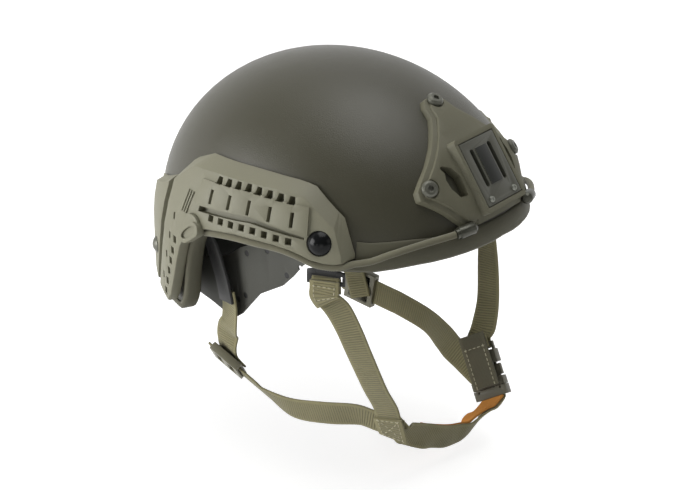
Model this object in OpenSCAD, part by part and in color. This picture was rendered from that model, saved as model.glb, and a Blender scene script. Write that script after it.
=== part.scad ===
// High-cut combat helmet with side rails, a front shroud, padded liner, fit band and chin harness.
// Origin at the centre of the shell's widest section, +Z up, the wearer faces -Y, their left is +X.

/* [Shell] */
// Half width of the shell at its widest section
shell_a = 111; // [104:0.5:118]
// Half length of the shell at its widest section
shell_b = 140; // [133:0.5:147]
// Height of the crown above the widest section
shell_h = 120; // [112:0.5:128]
// Thickness of the shell wall
shell_wall = 8; // [6:0.5:10]
// Brow edge above the widest section
brow_z = 27; // [20:1:34]
// Top of the ear cut above the widest section
ear_z = 24; // [18:1:28]
// Bottom of the leg behind the ear, below the widest section
leg_z = 54; // [46:1:60]
// Nape edge below the widest section
nape_z = 62; // [56:1:68]

/* [Edge trim] */
// Thickness of the edge trim outside the wall
trim_t = 1.8; // [1.2:0.1:2.4]
// Height of the trim over the brow and temples
trim_h = 14; // [8:1:17]
// Height of the trim round the ears and nape
trim_h_ear = 3.2; // [2:0.1:3.6]

/* [Side rails] */
// Height of the rail's lower face off the shell
rail_w = 9; // [7.5:0.5:11]
// Extra height of the raised slotted band
band_w = 1.5; // [0.8:0.1:2.5]
// Height of the rail's outer edge where its roof meets the shell
rail_edge_w = 2; // [1.9:0.1:3]
// Pitch of the pockets and notches along the rail, in degrees round the shell
pocket_pitch = 3.7; // [3.3:0.1:3.9]
// Side of a square pocket
pocket_side = 4.6; // [3.4:0.1:5.2]
// Width of the upright slots in the raised band
slot_w = 2.6; // [1.6:0.1:3.6]
// Height of the upright slots in the raised band
slot_h = 10; // [7:0.5:12]
// Depth of the pockets, notches and slots
pocket_d = 5; // [3:0.5:6]

/* [Front shroud] */
// Thickness of the shroud's wings off the shell
shroud_t = 4.5; // [3.5:0.25:6]
// Width of the metal plate
plate_w = 36.6; // [34:0.2:40]
// Height of the metal plate
plate_h = 44.5; // [42:0.5:48]
// Thickness of the metal plate
plate_t = 3; // [2:0.25:4]
// Tilt of the plate back from upright
plate_tilt = 35; // [33:0.5:37]
// Width of the plate's two long slots
plate_slot_w = 3.6; // [2.6:0.1:4.4]
// Length of the plate's two long slots, end to end
plate_slot_l = 27; // [22:1:29]
// Distance between the two long slots
plate_slot_pitch = 19; // [17:0.5:21]

/* [Fasteners] */
// Diameter of the threaded shanks through the shell
bolt_d = 5; // [4:0.25:6]
// Radial clearance round a shank
bolt_gap = 0.25; // [0.15:0.05:0.5]
// Diameter of the shroud bolt heads
shroud_head_d = 11; // [9:0.5:12]
// Diameter of the domed rail bolt heads
rail_head_d = 16; // [13:0.5:17]
// Diameter of the nuts inside the shell
nut_d = 14; // [11:0.5:15]
// Thickness of the nut flange inside the shell
nut_t = 2; // [1.4:0.1:2.6]

/* [Bungees] */
// Diameter of the braided bungee
bungee_d = 4.6; // [4:0.2:5]
// Diameter of the barrel clip on the bungee
clip_d = 8; // [7:0.25:9]

/* [Liner] */
// Thickness of a comfort pad
pad_t = 15; // [11:1:17]
// Gap between a pad and the shell
pad_gap = 0.7; // [0.6:0.05:0.9]

/* [Fit band] */
// Thickness of the band's wings
wing_t = 1.6; // [1.2:0.1:2.2]
// Distance of the band inside the outer surface at the sides
wing_in = 30; // [27:0.5:32]
// Diameter of the dial knob
dial_d = 34; // [28:1:38]
// Thickness of the dial knob
dial_t = 9; // [7:0.5:10]
// Radial clearance of the knob on its spindle
dial_gap = 0.06; // [0.04:0.01:0.1]
// Diameter of the knob's spindle
spindle_d = 8; // [6:0.5:10]

/* [Harness] */
// Width of the webbing
web_w = 19; // [17:0.5:20]
// Thickness of the webbing
web_t = 1.5; // [1.2:0.1:1.8]
// Clearance between stacked layers of webbing and plastic
web_gap = 0.3; // [0.2:0.05:0.4]
// Width of the side-release buckle
buckle_w = 25; // [24:0.5:27]
// Length of the buckle's socket
buckle_l = 26; // [24:0.5:28]
// Thickness of the buckle's socket
buckle_t = 8.5; // [8:0.5:10]

/* [Hidden] */
olive = [0.36, 0.36, 0.31];
rail_olive = [0.42, 0.41, 0.35];
web_olive = [0.46, 0.43, 0.34];
black = [0.09, 0.09, 0.09];
gunmetal = [0.22, 0.23, 0.22];
steel = [0.55, 0.55, 0.5];
tan = [0.72, 0.48, 0.26];
foam = [0.16, 0.16, 0.15];

// A point on the shell: azimuth t from the front, height v on the outer surface, w out along the wall,
// side s: -1 is the wearer's right, 1 the left
function crown_k(v) = v > 0 ? sqrt(max(0, 1 - pow(v / shell_h, 2))) : 1;
function on_shell(t, v, w, s) = [
    s * (shell_a + w) * sin(t) * crown_k(v),
    -(shell_b + w) * cos(t) * crown_k(v),
    v > 0 ? v * (shell_h + w) / shell_h : v
];
// Outward normal of the shell there
function shell_normal(t, v, s) = let (
    p = on_shell(t, v, 0, s),
    g = [p.x / pow(shell_a, 2), p.y / pow(shell_b, 2), v > 0 ? v / pow(shell_h, 2) : 0]
) g / norm(g);
// Millimetres of arc per degree of azimuth
function arc_per_deg(t) = norm([shell_a * cos(t), shell_b * sin(t)]) * PI / 180;

// Frame on the shell: local z is the outward normal, local x runs rearwards, local y up
module at_shell(t, v, w, s) {
    n = shell_normal(t, v, s);
    tilt = asin(n.z);
    turn = atan2(n.y, n.x);
    translate(on_shell(t, v, 0, s) + n * w)
        rotate([0, 0, turn])
            rotate([0, 90 - tilt, 0])
                rotate([0, 0, 90])
                    if (s > 0) children();
                    else mirror([1, 0, 0]) children();
}

// Frame at a point: local x along d, local z as near to the face direction n as square to d allows
module at_frame(p, d, n) {
    x = d / norm(d);
    z0 = n - x * (n * x);
    z = z0 / norm(z0);
    yaw = atan2(x.y, x.x);
    pitch = asin(x.z);
    level = [-sin(yaw), cos(yaw), 0];
    up = cross(x, level);
    roll = atan2(-(z * level), z * up);
    translate(p) rotate([0, 0, yaw]) rotate([0, -pitch, 0]) rotate([roll, 0, 0]) children();
}

// A closed solid through rings of equal length, with flat ends or closed on itself
module skin(rings, looped = false, turned = false) {
    n = len(rings[0]);
    m = len(rings);
    last = looped ? m - 1 : m - 2;
    sides = [
        for (i = [0 : last])
            for (j = [0 : n - 1])
                let (
                    i2 = (i + 1) % m,
                    j2 = (j + 1) % n,
                    a = i * n + j,
                    b = i * n + j2,
                    c = i2 * n + j2,
                    d = i2 * n + j
                )
                    each 2 * j < n ? [[a, d, c], [a, c, b]] : [[a, d, b], [d, c, b]]
    ];
    strip = looped ? [] : [
        for (j = [0 : floor((n - 3) / 2)])
            each concat([[j, j + 1, n - 1 - j]], j + 1 < n - 2 - j ? [[j + 1, n - 2 - j, n - 1 - j]] : [])
    ];
    caps = concat(strip, [for (f = strip) [for (k = [2 : -1 : 0]) f[k] + (m - 1) * n]]);
    faces = concat(sides, caps);
    polyhedron(
        points = [for (r = rings) each r],
        faces = turned ? [for (f = faces) [for (k = [len(f) - 1 : -1 : 0]) f[k]]] : faces,
        convexity = 6
    );
}

// The shell's edge line: heights over azimuth, from the brow over the ear cut to the nape
edge_line = [
    [0, brow_z], [15, brow_z - 2], [26, brow_z - 4], [36, brow_z - 6], [48, ear_z - 7], [58, ear_z - 8],
    [66, ear_z - 7], [71, ear_z - 3], [77, ear_z], [92, ear_z - 1], [98, ear_z - 2], [102.7, ear_z - 4.5],
    [105.6, ear_z - 8.5], [107.5, ear_z - 14], [109, ear_z - 20], [110.4, 6 - ear_z / 2],
    [111.9, 13 - leg_z * 0.6],
    [113.4, 15 - leg_z], [114.6, 8 - leg_z], [116.1, 3 - leg_z], [118, -leg_z], [121.5, -leg_z - 0.5],
    [129, -leg_z - 2], [145, -nape_z + 1], [162, -nape_z], [180, -nape_z]
];
function edge_z(t) = lookup(t, edge_line);
edge_t = concat(
    [for (t = [0 : 6 : 48]) t],
    [52.6, 53.3, 58],
    [66, 71, 77, 84, 92, 98, 102.7, 105.6, 107.5, 109, 110.4, 111.9, 113.4, 114.6, 116.1, 118, 121.5, 125],
    [for (t = [131 : 7 : 173]) t]
);
// The same azimuths on both sides, as a closed loop from the front by the left to the front
ring_t = concat(
    [for (t = edge_t) [t, 1]],
    [[180, 1]],
    [for (i = [len(edge_t) - 1 : -1 : 1]) [edge_t[i], -1]]
);
row_count = 13;
// Rows of the wall: rings of points from the edge line up to the crown, moved out by w
function wall_ring(w, f) = [
    for (q = ring_t)
        let (e0 = edge_z(q[0]), el = asin(e0 / shell_h))
            on_shell(q[0], shell_h * sin(el + (90 - el) * f), w, q[1])
];
row_f = [for (i = [0 : row_count - 1]) i / row_count];
// A solid under the brow's surface moved out by w, for what is cut to that surface; past widens it all round
brow_t = 54;
module brow_block(w, depth, past = 0) {
    v = [for (el = [5 - past : 6 : 71]) shell_h * sin(el), if (past > 0) shell_h * sin(71 + past)];
    skin([
        for (t = [-brow_t - past, each [6 - brow_t : 6 : brow_t - 6], brow_t + past])
            concat(
                [for (q = v) on_shell(t, q, w, 1)],
                [on_shell(t, v[len(v) - 1], -depth, 1), on_shell(t, v[0], -depth, 1)]
            )
    ], turned = true);
}

// The wall between two moved surfaces, open below
module wall_solid(w_in, w_out) {
    n = len(ring_t);
    m = row_count;
    outer = [for (f = row_f) each wall_ring(w_out, f)];
    inner = [for (f = row_f) each wall_ring(w_in, f)];
    off = n * m;
    pts = concat(outer, inner, [[0, 0, shell_h + w_out], [0, 0, shell_h + w_in]]);
    faces = [
        for (j = [0 : n - 1])
            let (j2 = (j + 1) % n)
                each concat(
                    [
                        for (i = [0 : m - 2])
                            each [
                                [i * n + j, (i + 1) * n + j2, i * n + j2],
                                [i * n + j, (i + 1) * n + j, (i + 1) * n + j2],
                                [off + i * n + j, off + i * n + j2, off + (i + 1) * n + j2],
                                [off + i * n + j, off + (i + 1) * n + j2, off + (i + 1) * n + j]
                            ]
                    ],
                    [
                        [(m - 1) * n + j, 2 * off, (m - 1) * n + j2],
                        [off + (m - 1) * n + j, off + (m - 1) * n + j2, 2 * off + 1],
                        [j, j2, off + j2],
                        [j, off + j2, off + j]
                    ]
                )
    ];
    polyhedron(points = pts, faces = faces, convexity = 8);
}

// Fixing points on the shell: azimuth and height
rail_bolt_t = 63;
rail_bolt_v = 32.5;
rear_bolt_t = 130;
rear_bolt_v = -17;
shroud_top_v = 41 + shell_h / 2;
shroud_side_t = 27.5;
shroud_side_v = 63;
bolt_hole_d = bolt_d + 2 * bolt_gap;
module bolt_hole() translate([0, 0, -20]) cylinder(d = bolt_hole_d, h = 40, $fn = 32);
module shell_holes(s) {
    at_shell(rail_bolt_t, rail_bolt_v, 0, s) bolt_hole();
    at_shell(rear_bolt_t, rear_bolt_v, 0, s) bolt_hole();
    at_shell(shroud_side_t, shroud_side_v, 0, s) bolt_hole();
}

module shell() {
    color(olive)
        difference() {
            wall_solid(-shell_wall, 0);
            shell_holes(-1);
            shell_holes(1);
            at_shell(0, shroud_top_v, 0, 1) bolt_hole();
        }
}

// Edge trim: a channel that hugs the edge, its height measured square to the edge line
trim_gap = 0.4;
trim_line = [
    [0, trim_h - 3], [25, trim_h - 1], [46, trim_h + 3], [52.6, trim_h + 4], [53.3, trim_h_ear],
        [180, trim_h_ear]
];
function edge_slope(i) = let (
    n = len(ring_t),
    a = ring_t[(i + n - 1) % n],
    b = ring_t[(i + 1) % n],
    u = ring_t[i],
    span = abs(a[1] * a[0] - b[1] * b[0]),
    run = (span > 180 ? 360 - span : span) * arc_per_deg(u[0]),
    d = [run, edge_z(b[0]) - edge_z(a[0])]
) d / norm(d);
// A trim point, up square to the edge by h and out by w
function trim_pt(i, h, w) = let (
    q = ring_t[i],
    d = edge_slope(i),
    going = q[1],
    dt = -d.y * h / arc_per_deg(q[0])
) on_shell(q[0] * going + dt, edge_z(q[0]) + d.x * h, w, 1);
module rim_trim() {
    color(rail_olive)
        skin([
            for (i = [0 : len(ring_t) - 1])
                let (h = lookup(ring_t[i][0], trim_line), g = trim_gap, w1 = -shell_wall)
                    [
                        trim_pt(i, h / 2, g), trim_pt(i, h, g), trim_pt(i, h, trim_t * 0.5),
                        trim_pt(i, h - 1.2, trim_t), trim_pt(i, h / 2, trim_t), trim_pt(i, 0, trim_t),
                            trim_pt(i, -trim_t, 0), trim_pt(i, -trim_t, w1),
                        trim_pt(i, 0, w1 - trim_t), trim_pt(i, trim_h_ear, w1 - trim_t),
                        trim_pt(i, trim_h_ear, w1 - g), trim_pt(i, -g, w1 - g), trim_pt(i, -g, g)
                    ]
        ], looped = true);
}

// Rail: lower edge, edge of the face below the roof, and foot of the roof, over azimuth
rail_low = [
    [53.5, 24.2], [56, 22], [60, 20], [65, 21], [70, 24.8], [75, 26.7], [88, 26.5], [98, 23], [103, 19.5],
    [106, 15.3], [108.2, 8.5], [110.2, 1], [112.2, -12], [114.7, -30], [116.7, -42], [119, -49], [128, -44],
    [134, -38], [138, -30]
];
rail_face = [
    [53.5, 25.4], [57.2, 26], [59.2, 42], [68.5, 57], [77, 58.6], [99, 57], [111, 54.5], [118.5, 40],
    [124, 33],
    [134, 26.5], [138, 21.5]
];
rail_top = [
    [53.5, 27], [56.4, 48.5], [65.7, 64.5], [70, 66.5], [86, 67.8], [108, 66], [116, 58], [121.5, 42.5],
    [130, 34], [138, 29]
];
rail_t = [
    53.5, 55, 56.4, 57.2, 58.2, 59.2, 62, 65.7, 68.5, 72, 77, 83, 89, 95, 99, 103, 106, 108.2, 110.2, 112.2,
    114.7, 116.7, 119, 122, 125, 128, 131, 134, 138
];
seat = 0.3;
rail_lift = 0.5;
// Height of the rail's outer face over azimuth, and over height above the groove
face_w = [[53.5, rail_edge_w], [57.2, rail_w], [120, rail_w], [134, rail_w - 1.5], [138, rail_edge_w]];
face_rows = 6;
module rail_body(s) {
    skin([
        for (t = rail_t)
            let (
                lo = lookup(t, rail_low),
                mid = max(lookup(t, rail_face), lo + 0.4),
                hi = max(lookup(t, rail_top), mid + 0.4),
                w = lookup(t, face_w),
                low = lo + min(0.8, (mid - lo) / 2),
                over = min(1.6 * trim_h_ear + seat, (hi - lo) / (face_rows + 1) * 0.8),
                under_w = min(trim_t + seat, w - 1.4),
                ring = concat(
                    [on_shell(t, lo + over, rail_lift, s), on_shell(t, lo + over, under_w, s)],
                    [on_shell(t, lo, under_w, s), on_shell(t, lo, w - 1.2, s)],
                    [for (i = [0 : face_rows]) on_shell(t, low + (mid - low) * i / face_rows, w, s)],
                    [on_shell(t, hi, rail_edge_w, s)],
                    [for (i = [0 : face_rows]) on_shell(t, hi - (hi - lo) * i / (face_rows + 1),
                        rail_lift, s)]
                )
            )
                ring
    ], turned = s > 0);
}
// A band that follows the shell between two heights and two offsets
module rail_strip(ts, lo, hi, w0, w1, s) {
    skin([
        for (t = ts)
            let (a = lookup(t, lo), b = lookup(t, hi))
                [
                    on_shell(t, a, w0, s), on_shell(t, a, w1, s), on_shell(t, (a + b) / 2, w1, s),
                    on_shell(t, b, w1, s), on_shell(t, b, w0, s)
                ]
    ], turned = s > 0);
}
band_low = [[66.5, 36], [84, 39.8], [104, 35]];
band_high = [[66.5, 52], [84, 53.5], [104, 51]];
groove_low = [[67.5, 33.4], [84, 36], [103, 31.5]];
groove_high = [[67.5, 34.8], [84, 39.6], [103, 35.2]];
band_t = [66.5, 72, 78, 84, 90, 96, 100, 104];
groove_t = [67.5, 72, 78, 84, 90, 96, 100, 103];
pocket_count = 8;
slot_count = 5;
leg_pocket_count = 6;
pocket_line = [[72, 30.8], [84, 32.2], [98, 30.6]];
notch_line = [[72, 54.3], [86, 55.6], [99, 53.8]];
slot_line = [[71, 43.6], [84, 44.8], [99, 43.3]];
slot_first_t = 71.1;
slot_pitch = 6.92;
pocket_first_t = 71.8;
leg_pocket_v0 = 4;
leg_pocket_dv = 9.2;
leg_pocket_t0 = 113.2;
leg_pocket_dt = 1.45;
groove_line = [[-50, 129], [-40, 127.4], [-18, 124.4], [5, 121.4], [28, 119.6], [46, 120]];
groove_half = 1.4;
module cut_box(t, v, w, s, size, lean = 0) {
    at_shell(t, v, w, s) rotate([0, 0, lean]) translate([0, 0, -size.z / 2]) cube(size, center = true);
}
module rail_cuts(s) {
    deep = 2 * pocket_d;
    for (i = [0 : pocket_count - 1]) {
        t = pocket_first_t + i * pocket_pitch;
        cut_box(t, lookup(t, pocket_line), rail_w + pocket_d, s, [pocket_side, pocket_side, deep]);
        at_shell(t, lookup(t, notch_line), rail_w, s)
            translate([0, 0, -pocket_d])
                linear_extrude(2 * pocket_d)
                    polygon([
                        [-pocket_side * 0.62, -pocket_side * 0.6], [pocket_side * 0.62, -pocket_side * 0.6],
                        [pocket_side * 0.38, pocket_side * 0.6], [-pocket_side * 0.38, pocket_side * 0.6]
                    ]);
    }
    for (i = [0 : slot_count - 1]) {
        t = slot_first_t + i * slot_pitch;
        cut_box(t, lookup(t, slot_line), rail_w + band_w + 2, s, [slot_w, slot_h, pocket_d + 3]);
    }
    for (i = [0 : leg_pocket_count - 1])
        cut_box(
            leg_pocket_t0 + i * leg_pocket_dt, leg_pocket_v0 - i * leg_pocket_dv, rail_w + 2, s,
            [pocket_side * 0.9, pocket_side * 1.15, pocket_d + 2]
        );
    for (q = [[114.2, 19.5], [116.2, 4.6], [118.8, -12], [121.9, -31]])
        cut_box(q[0], q[1], rail_w + 1, s, [2.2, 5, 4]);
    rail_strip(groove_t, groove_low, groove_high, rail_w - pocket_d, rail_w + 6, s);
    // The deep upright groove that sets the rear piece off
    skin([
        for (v = [46, 34, 20, 5, -10, -25, -40, -50])
            let (t = lookup(v, groove_line))
                [
                    on_shell(t - groove_half, v, 3, s), on_shell(t - groove_half, v, rail_w + 3, s),
                    on_shell(t + groove_half, v, rail_w + 3, s), on_shell(t + groove_half, v, 3, s)
                ]
    ], turned = s > 0);
    at_shell(rail_bolt_t, rail_bolt_v, 0, s) {
        translate([0, 0, -1]) cylinder(d = bolt_hole_d, h = 20, $fn = 32);
        translate([0, 0, rail_w - head_sink]) cylinder(d = rail_head_d + 1, h = 10, $fn = 48);
    }
    at_shell(rear_bolt_t, rear_bolt_v, 0, s) {
        translate([0, 0, -1]) cylinder(d = bolt_hole_d, h = 20, $fn = 32);
        translate([0, 0, rail_w - head_sink]) cylinder(d = shroud_head_d + 1, h = 10, $fn = 48);
    }
    // Channel for the bungee under the lower edge
    round_cord(smooth([for (i = [1 : 8]) bungee_pt(i, s)], 2), bungee_d + 2 * bungee_gap, bungee_sides);
    // Seat of the bungee hook in the corner
    at_shell(hook_t, hook_v, rail_w - hook_sink, s) hook_outline(10, hook_gap);
}
module rail(s) {
    color(rail_olive)
        difference() {
            union() {
                rail_body(s);
                rail_strip(band_t, band_low, band_high, rail_w - 1, rail_w + band_w, s);
                // Bare maker's block in the corner, three plain ribs
                for (i = [-1 : 1])
                    at_shell(108.6 + i * 1.1, 34, rail_w, s)
                        rotate([0, 0, 14])
                            cube([1.1, 17, 1.6], center = true);
            }
            rail_cuts(s);
        }
}
module rail_right() rail(-1);
module rail_left() rail(1);

// Bungee hook: an oval cap in the rail's corner with a cord hole along its back
hook_t = 104.4;
hook_v = 17;
hook_l = 23;
hook_w = 11;
hook_lean = -37;
hook_sink = 2;
hook_rise = 3.6;
hook_gap = 0.3;
lobe_d = 17;
lobe_up = 4;
module hook_lens(d) {
    rotate(hook_lean)
        hull()
            for (i = [-1, 1])
                translate([i * (hook_l - hook_w) / 2, 0]) circle(d = d, $fn = 28);
}
module hook_outline(h, grow) {
    linear_extrude(h) {
        hook_lens(hook_w + 2 * grow);
        translate([0, lobe_up]) circle(d = lobe_d + 2 * grow, $fn = 40);
    }
}
module bungee_hook(s) {
    color(rail_olive)
        at_shell(hook_t, hook_v, rail_w - hook_sink, s)
            difference() {
                union() {
                    hook_outline(hook_sink + hook_rise / 2, 0);
                    linear_extrude(hook_sink + hook_rise) hook_lens(hook_w - 0.5);
                }
                translate([0, 0, hook_sink + hook_rise - 1.6])
                    linear_extrude(3)
                        rotate(hook_lean)
                            scale([1, 0.36]) circle(d = hook_l - 5, $fn = 36);
            }
}
module bungee_hook_right() bungee_hook(-1);
module bungee_hook_left() bungee_hook(1);

// Domed bolts of the rails, with their shank through the wall, the anchor and the wing into a flanged nut
head_sink = 2.2;
dome_rise = 4.4;
brim_h = 1.7;
module domed_bolt(t, v, s, head_d, rise, tip) {
    dome_r = (pow(head_d / 2, 2) + pow(rise, 2)) / (2 * rise);
    base_w = rail_w - head_sink;
    color(black)
        at_shell(t, v, 0, s) {
            translate([0, 0, tip]) cylinder(d = bolt_d, h = base_w - tip + 0.5, $fn = 32);
            translate([0, 0, base_w]) cylinder(d = head_d, h = brim_h, $fn = 48);
            translate([0, 0, base_w + brim_h - 0.1])
                rotate_extrude($fn = 48)
                    intersection() {
                        translate([0, rise - dome_r]) circle(r = dome_r, $fn = 96);
                        square([head_d / 2, rise]);
                    }
        }
}
collar_h = 2;
module flanged_nut(t, v, s, face) {
    color(gunmetal)
        at_shell(t, v, 0, s)
            difference() {
                union() {
                    translate([0, 0, face - nut_t]) cylinder(d = nut_d, h = nut_t, $fn = 40);
                    translate([0, 0, face - nut_t - collar_h])
                        cylinder(d = bolt_d + 4, h = collar_h + 0.5, $fn = 32);
                }
                translate([0, 0, face - 20]) cylinder(d = bolt_d + 0.1, h = 25, $fn = 32);
            }
}
nut_lift = 0.85;
nut_w = -shell_wall - nut_lift;
anchor_w = -shell_wall - 2.2;
anchor_t = 2;
wing_front = -anchor_w + anchor_t + 3 * seat;
clamp_w = -wing_front - wing_t - seat;
module rail_bolt_right() domed_bolt(rail_bolt_t, rail_bolt_v, -1, rail_head_d, dome_rise,
    clamp_w - nut_t - 3);
module rail_bolt_left() domed_bolt(rail_bolt_t, rail_bolt_v, 1, rail_head_d, dome_rise,
    clamp_w - nut_t - 3);
module rear_bolt_right() domed_bolt(rear_bolt_t, rear_bolt_v, -1, shroud_head_d, 2.4, nut_w - nut_t - 3);
module rear_bolt_left() domed_bolt(rear_bolt_t, rear_bolt_v, 1, shroud_head_d, 2.4, nut_w - nut_t - 3);
module rail_nut_right() flanged_nut(rail_bolt_t, rail_bolt_v, -1, clamp_w);
module rail_nut_left() flanged_nut(rail_bolt_t, rail_bolt_v, 1, clamp_w);
module rear_nut_right() flanged_nut(rear_bolt_t, rear_bolt_v, -1, nut_w);
module rear_nut_left() flanged_nut(rear_bolt_t, rear_bolt_v, 1, nut_w);

// Shroud: a skeleton moulding that follows the brow, with a tilted seat for the metal plate
plate_y = 15.5 - shell_b;
plate_z = brow_z + 43;
module at_plate() {
    translate([0, plate_y, plate_z]) rotate([90 - plate_tilt, 0, 0]) children();
}
shroud_half = [
    [0, 59.5], [6, 58.5], [10.5, 54], [13, 46], [19, 39], [28, 29], [38, 19.5], [47, 12], [52, 7], [53, 1],
    [48, -5], [42, -13], [37, -21], [33, -27], [26, -29.5], [0, -29.5]
];
module shroud_outline(grow) {
    offset(r = 2 + grow, $fn = 24)
        offset(delta = -2)
            polygon(concat(shroud_half,
                [for (i = [len(shroud_half) - 2 : -1 : 1]) [-shroud_half[i].x, shroud_half[i].y]]));
}
window_half = [[35, 17.5], [27, 11.5], [24, 4], [25, -10], [31, -8], [34, -1], [34.5, 6], [33, 10]];
module shroud_windows() {
    for (s = [-1, 1])
        offset(r = 1.5, $fn = 20) offset(delta = -1.5) polygon([for (p = window_half) [s * p.x, p.y]]);
}
block_w = plate_w + 7;
block_h = plate_h + 8;
plate_gap = 0.6;
relief_d = 6;
relief_edge = 4;
frame_deep = 60;
rib_rise = 2;
module shroud_frame() {
    color(rail_olive)
        difference() {
            union() {
                intersection() {
                    at_plate() translate([0, 0, -frame_deep]) linear_extrude(frame_deep + 20)
                        shroud_outline(0);
                    brow_block(shroud_t, 40);
                }
                intersection() {
                    at_plate() translate([0, 0, -frame_deep]) linear_extrude(frame_deep + 20) difference() {
                        shroud_outline(-3);
                        shroud_windows();
                    }
                    brow_block(shroud_t + rib_rise, 40);
                }
                at_plate()
                    translate([0, 0, -45])
                        linear_extrude(45)
                            offset(r = 3, $fn = 24) square([block_w - 6, block_h - 6], center = true);
            }
            brow_block(seat, frame_deep, 3);
            at_plate() translate([0, 0, -frame_deep]) linear_extrude(frame_deep - 4) shroud_windows();
            at_plate() translate([0, 0, -plate_t - seat]) linear_extrude(30)
                square([plate_w + 2 * plate_gap, plate_h + 2 * plate_gap], center = true);
            at_plate()
                translate([0, 0, -plate_t - relief_d])
                    linear_extrude(relief_d + 4)
                        square([plate_w - 2 * relief_edge, plate_h - 3.5 * relief_edge], center = true);
            at_plate()
                for (s = [-1, 1])
                    translate([s * plate_screw_x, plate_screw_y, -plate_t - 8])
                        cylinder(d = 2.6, h = 12, $fn = 24);
            for (s = [-1, 1])
                at_shell(shroud_side_t, shroud_side_v, 0, s) shroud_bolt_seat();
            at_shell(0, shroud_top_v, 0, 1) shroud_bolt_seat();
            for (s = [-1, 1])
                at_clip(s) translate([0, 0, -4]) cylinder(d = clip_d + 2 * seat, h = clip_l + 8, $fn = 40);
        }
}
shroud_head_w = shroud_t + 0.6;
module shroud_bolt_seat() {
    translate([0, 0, -5]) cylinder(d = bolt_hole_d, h = 30, $fn = 32);
    translate([0, 0, shroud_head_w]) cylinder(d = shroud_head_d + 2, h = 20, $fn = 40);
}
plate_screw_x = 12.5;
plate_screw_y = -18.6;
module shroud_plate() {
    color(gunmetal)
        at_plate()
            difference() {
                union() {
                    translate([0, 0, -plate_t])
                        linear_extrude(plate_t)
                            difference() {
                                offset(r = 1, $fn = 16) square([plate_w - 2, plate_h - 2], center = true);
                                for (s = [-1, 1])
                                    hull()
                                        for (e = [-1, 1])
                                            translate([s * plate_slot_pitch / 2,
                                                3 + e * (plate_slot_l - plate_slot_w) / 2])
                                                circle(d = plate_slot_w, $fn = 20);
                            }
                    translate([-6, -10, -0.5]) cube([12, 26, 1.3]);
                }
                for (s = [-1, 1])
                    translate([s * plate_screw_x, plate_screw_y, -plate_t - 1])
                        cylinder(d = 2.9, h = 10, $fn = 24);
            }
}
module plate_screw(s) {
    color(steel)
        at_plate()
            translate([s * plate_screw_x, plate_screw_y, 0]) {
                translate([0, 0, -plate_t - 6]) cylinder(d = 2.4, h = plate_t + 6.2, $fn = 24);
                difference() {
                    translate([0, 0, 0.1]) cylinder(d1 = 4.6, d2 = 3.6, h = 1.1, $fn = 28);
                    translate([0, 0, 0.7]) cylinder(d = 2, h = 2, $fn = 6);
                }
            }
}
module plate_screw_right() plate_screw(-1);
module plate_screw_left() plate_screw(1);
module shroud_bolt(t, v, s) {
    color(rail_olive)
        at_shell(t, v, 0, s)
            difference() {
                union() {
                    translate([0, 0, -shell_wall - nut_t - 3])
                        cylinder(d = bolt_d, h = shroud_head_w + 0.5 + shell_wall + nut_t + 3, $fn = 32);
                    translate([0, 0, shroud_head_w]) cylinder(d = shroud_head_d, h = 2.2, $fn = 40);
                    translate([0, 0, shroud_head_w + 2.2])
                        cylinder(d1 = shroud_head_d, d2 = shroud_head_d - 3, h = 1.3, $fn = 40);
                }
                translate([0, 0, shroud_head_w + 1.6]) cylinder(d = 4.4, h = 6, $fn = 6);
            }
}
module shroud_bolt_top() shroud_bolt(0, shroud_top_v, 1);
module shroud_bolt_right() shroud_bolt(shroud_side_t, shroud_side_v, -1);
module shroud_bolt_left() shroud_bolt(shroud_side_t, shroud_side_v, 1);
module shroud_nut_top() flanged_nut(0, shroud_top_v, 1, nut_w);
module shroud_nut_right() flanged_nut(shroud_side_t, shroud_side_v, -1, nut_w);
module shroud_nut_left() flanged_nut(shroud_side_t, shroud_side_v, 1, nut_w);

// Bungees: from the hook along the rail's lower edge to a barrel clip at the shroud's lower corner
bungee_sides = 8;
bungee_gap = 0.3;
clip_l = 15;
clip_end_t = 22.5;
clip_end_v = 36.6;
clip_w = 6.4;
bungee_t = [101, 97, 90, 82, 75, 69, 64, 58, 54];
bungee_free = [[49, 23.5, 4.8], [44, 27.3, 4.8], [38, 31, 4.9], [32, 33.8, 5.1], [27, 35.4, 5.6],
    [clip_end_t, clip_end_v, clip_w]];
bungee_drop = bungee_d / 2 + bungee_gap;
bungee_off = 5.2;
function bungee_pt(i, s) =
    let (n = len(bungee_t), t = bungee_t[i])
        i < n
            ? on_shell(t, lookup(t, rail_low) - bungee_drop,
                i == 0 ? rail_w - hook_sink - bungee_drop : bungee_off, s)
            : on_shell(bungee_free[i - n][0], bungee_free[i - n][1], bungee_free[i - n][2], s);
bungee_n = len(bungee_t) + len(bungee_free);
function curve_pt(p, i, f) = let (
    n = len(p) - 1,
    a = p[max(i - 1, 0)],
    b = p[i],
    c = p[i + 1],
    d = p[min(i + 2, n)]
) 0.5 * (2 * b + (c - a) * f + (2 * a - 5 * b + 4 * c - d) * f * f + (3 * b - a - 3 * c + d) * f * f * f);
function smooth(p, steps) = concat(
    [for (i = [0 : len(p) - 2]) for (k = [0 : steps - 1]) curve_pt(p, i, k / steps)],
    [p[len(p) - 1]]
);
function unit(v) = v / norm(v);
function path_dir(p, i) = unit(p[min(i + 1, len(p) - 1)] - p[max(i - 1, 0)]);
module round_cord(p, d, sides) {
    skin([
        for (i = [0 : len(p) - 1])
            let (
                dir = path_dir(p, i),
                side = unit(cross(dir, [0, 0, 1])),
                up = cross(dir, side)
            )
                [
                    for (j = [0 : sides - 1])
                        p[i] + d / 2 * (cos(360 * j / sides) * side + sin(360 * j / sides) * up)
                ]
    ]);
}
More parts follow.
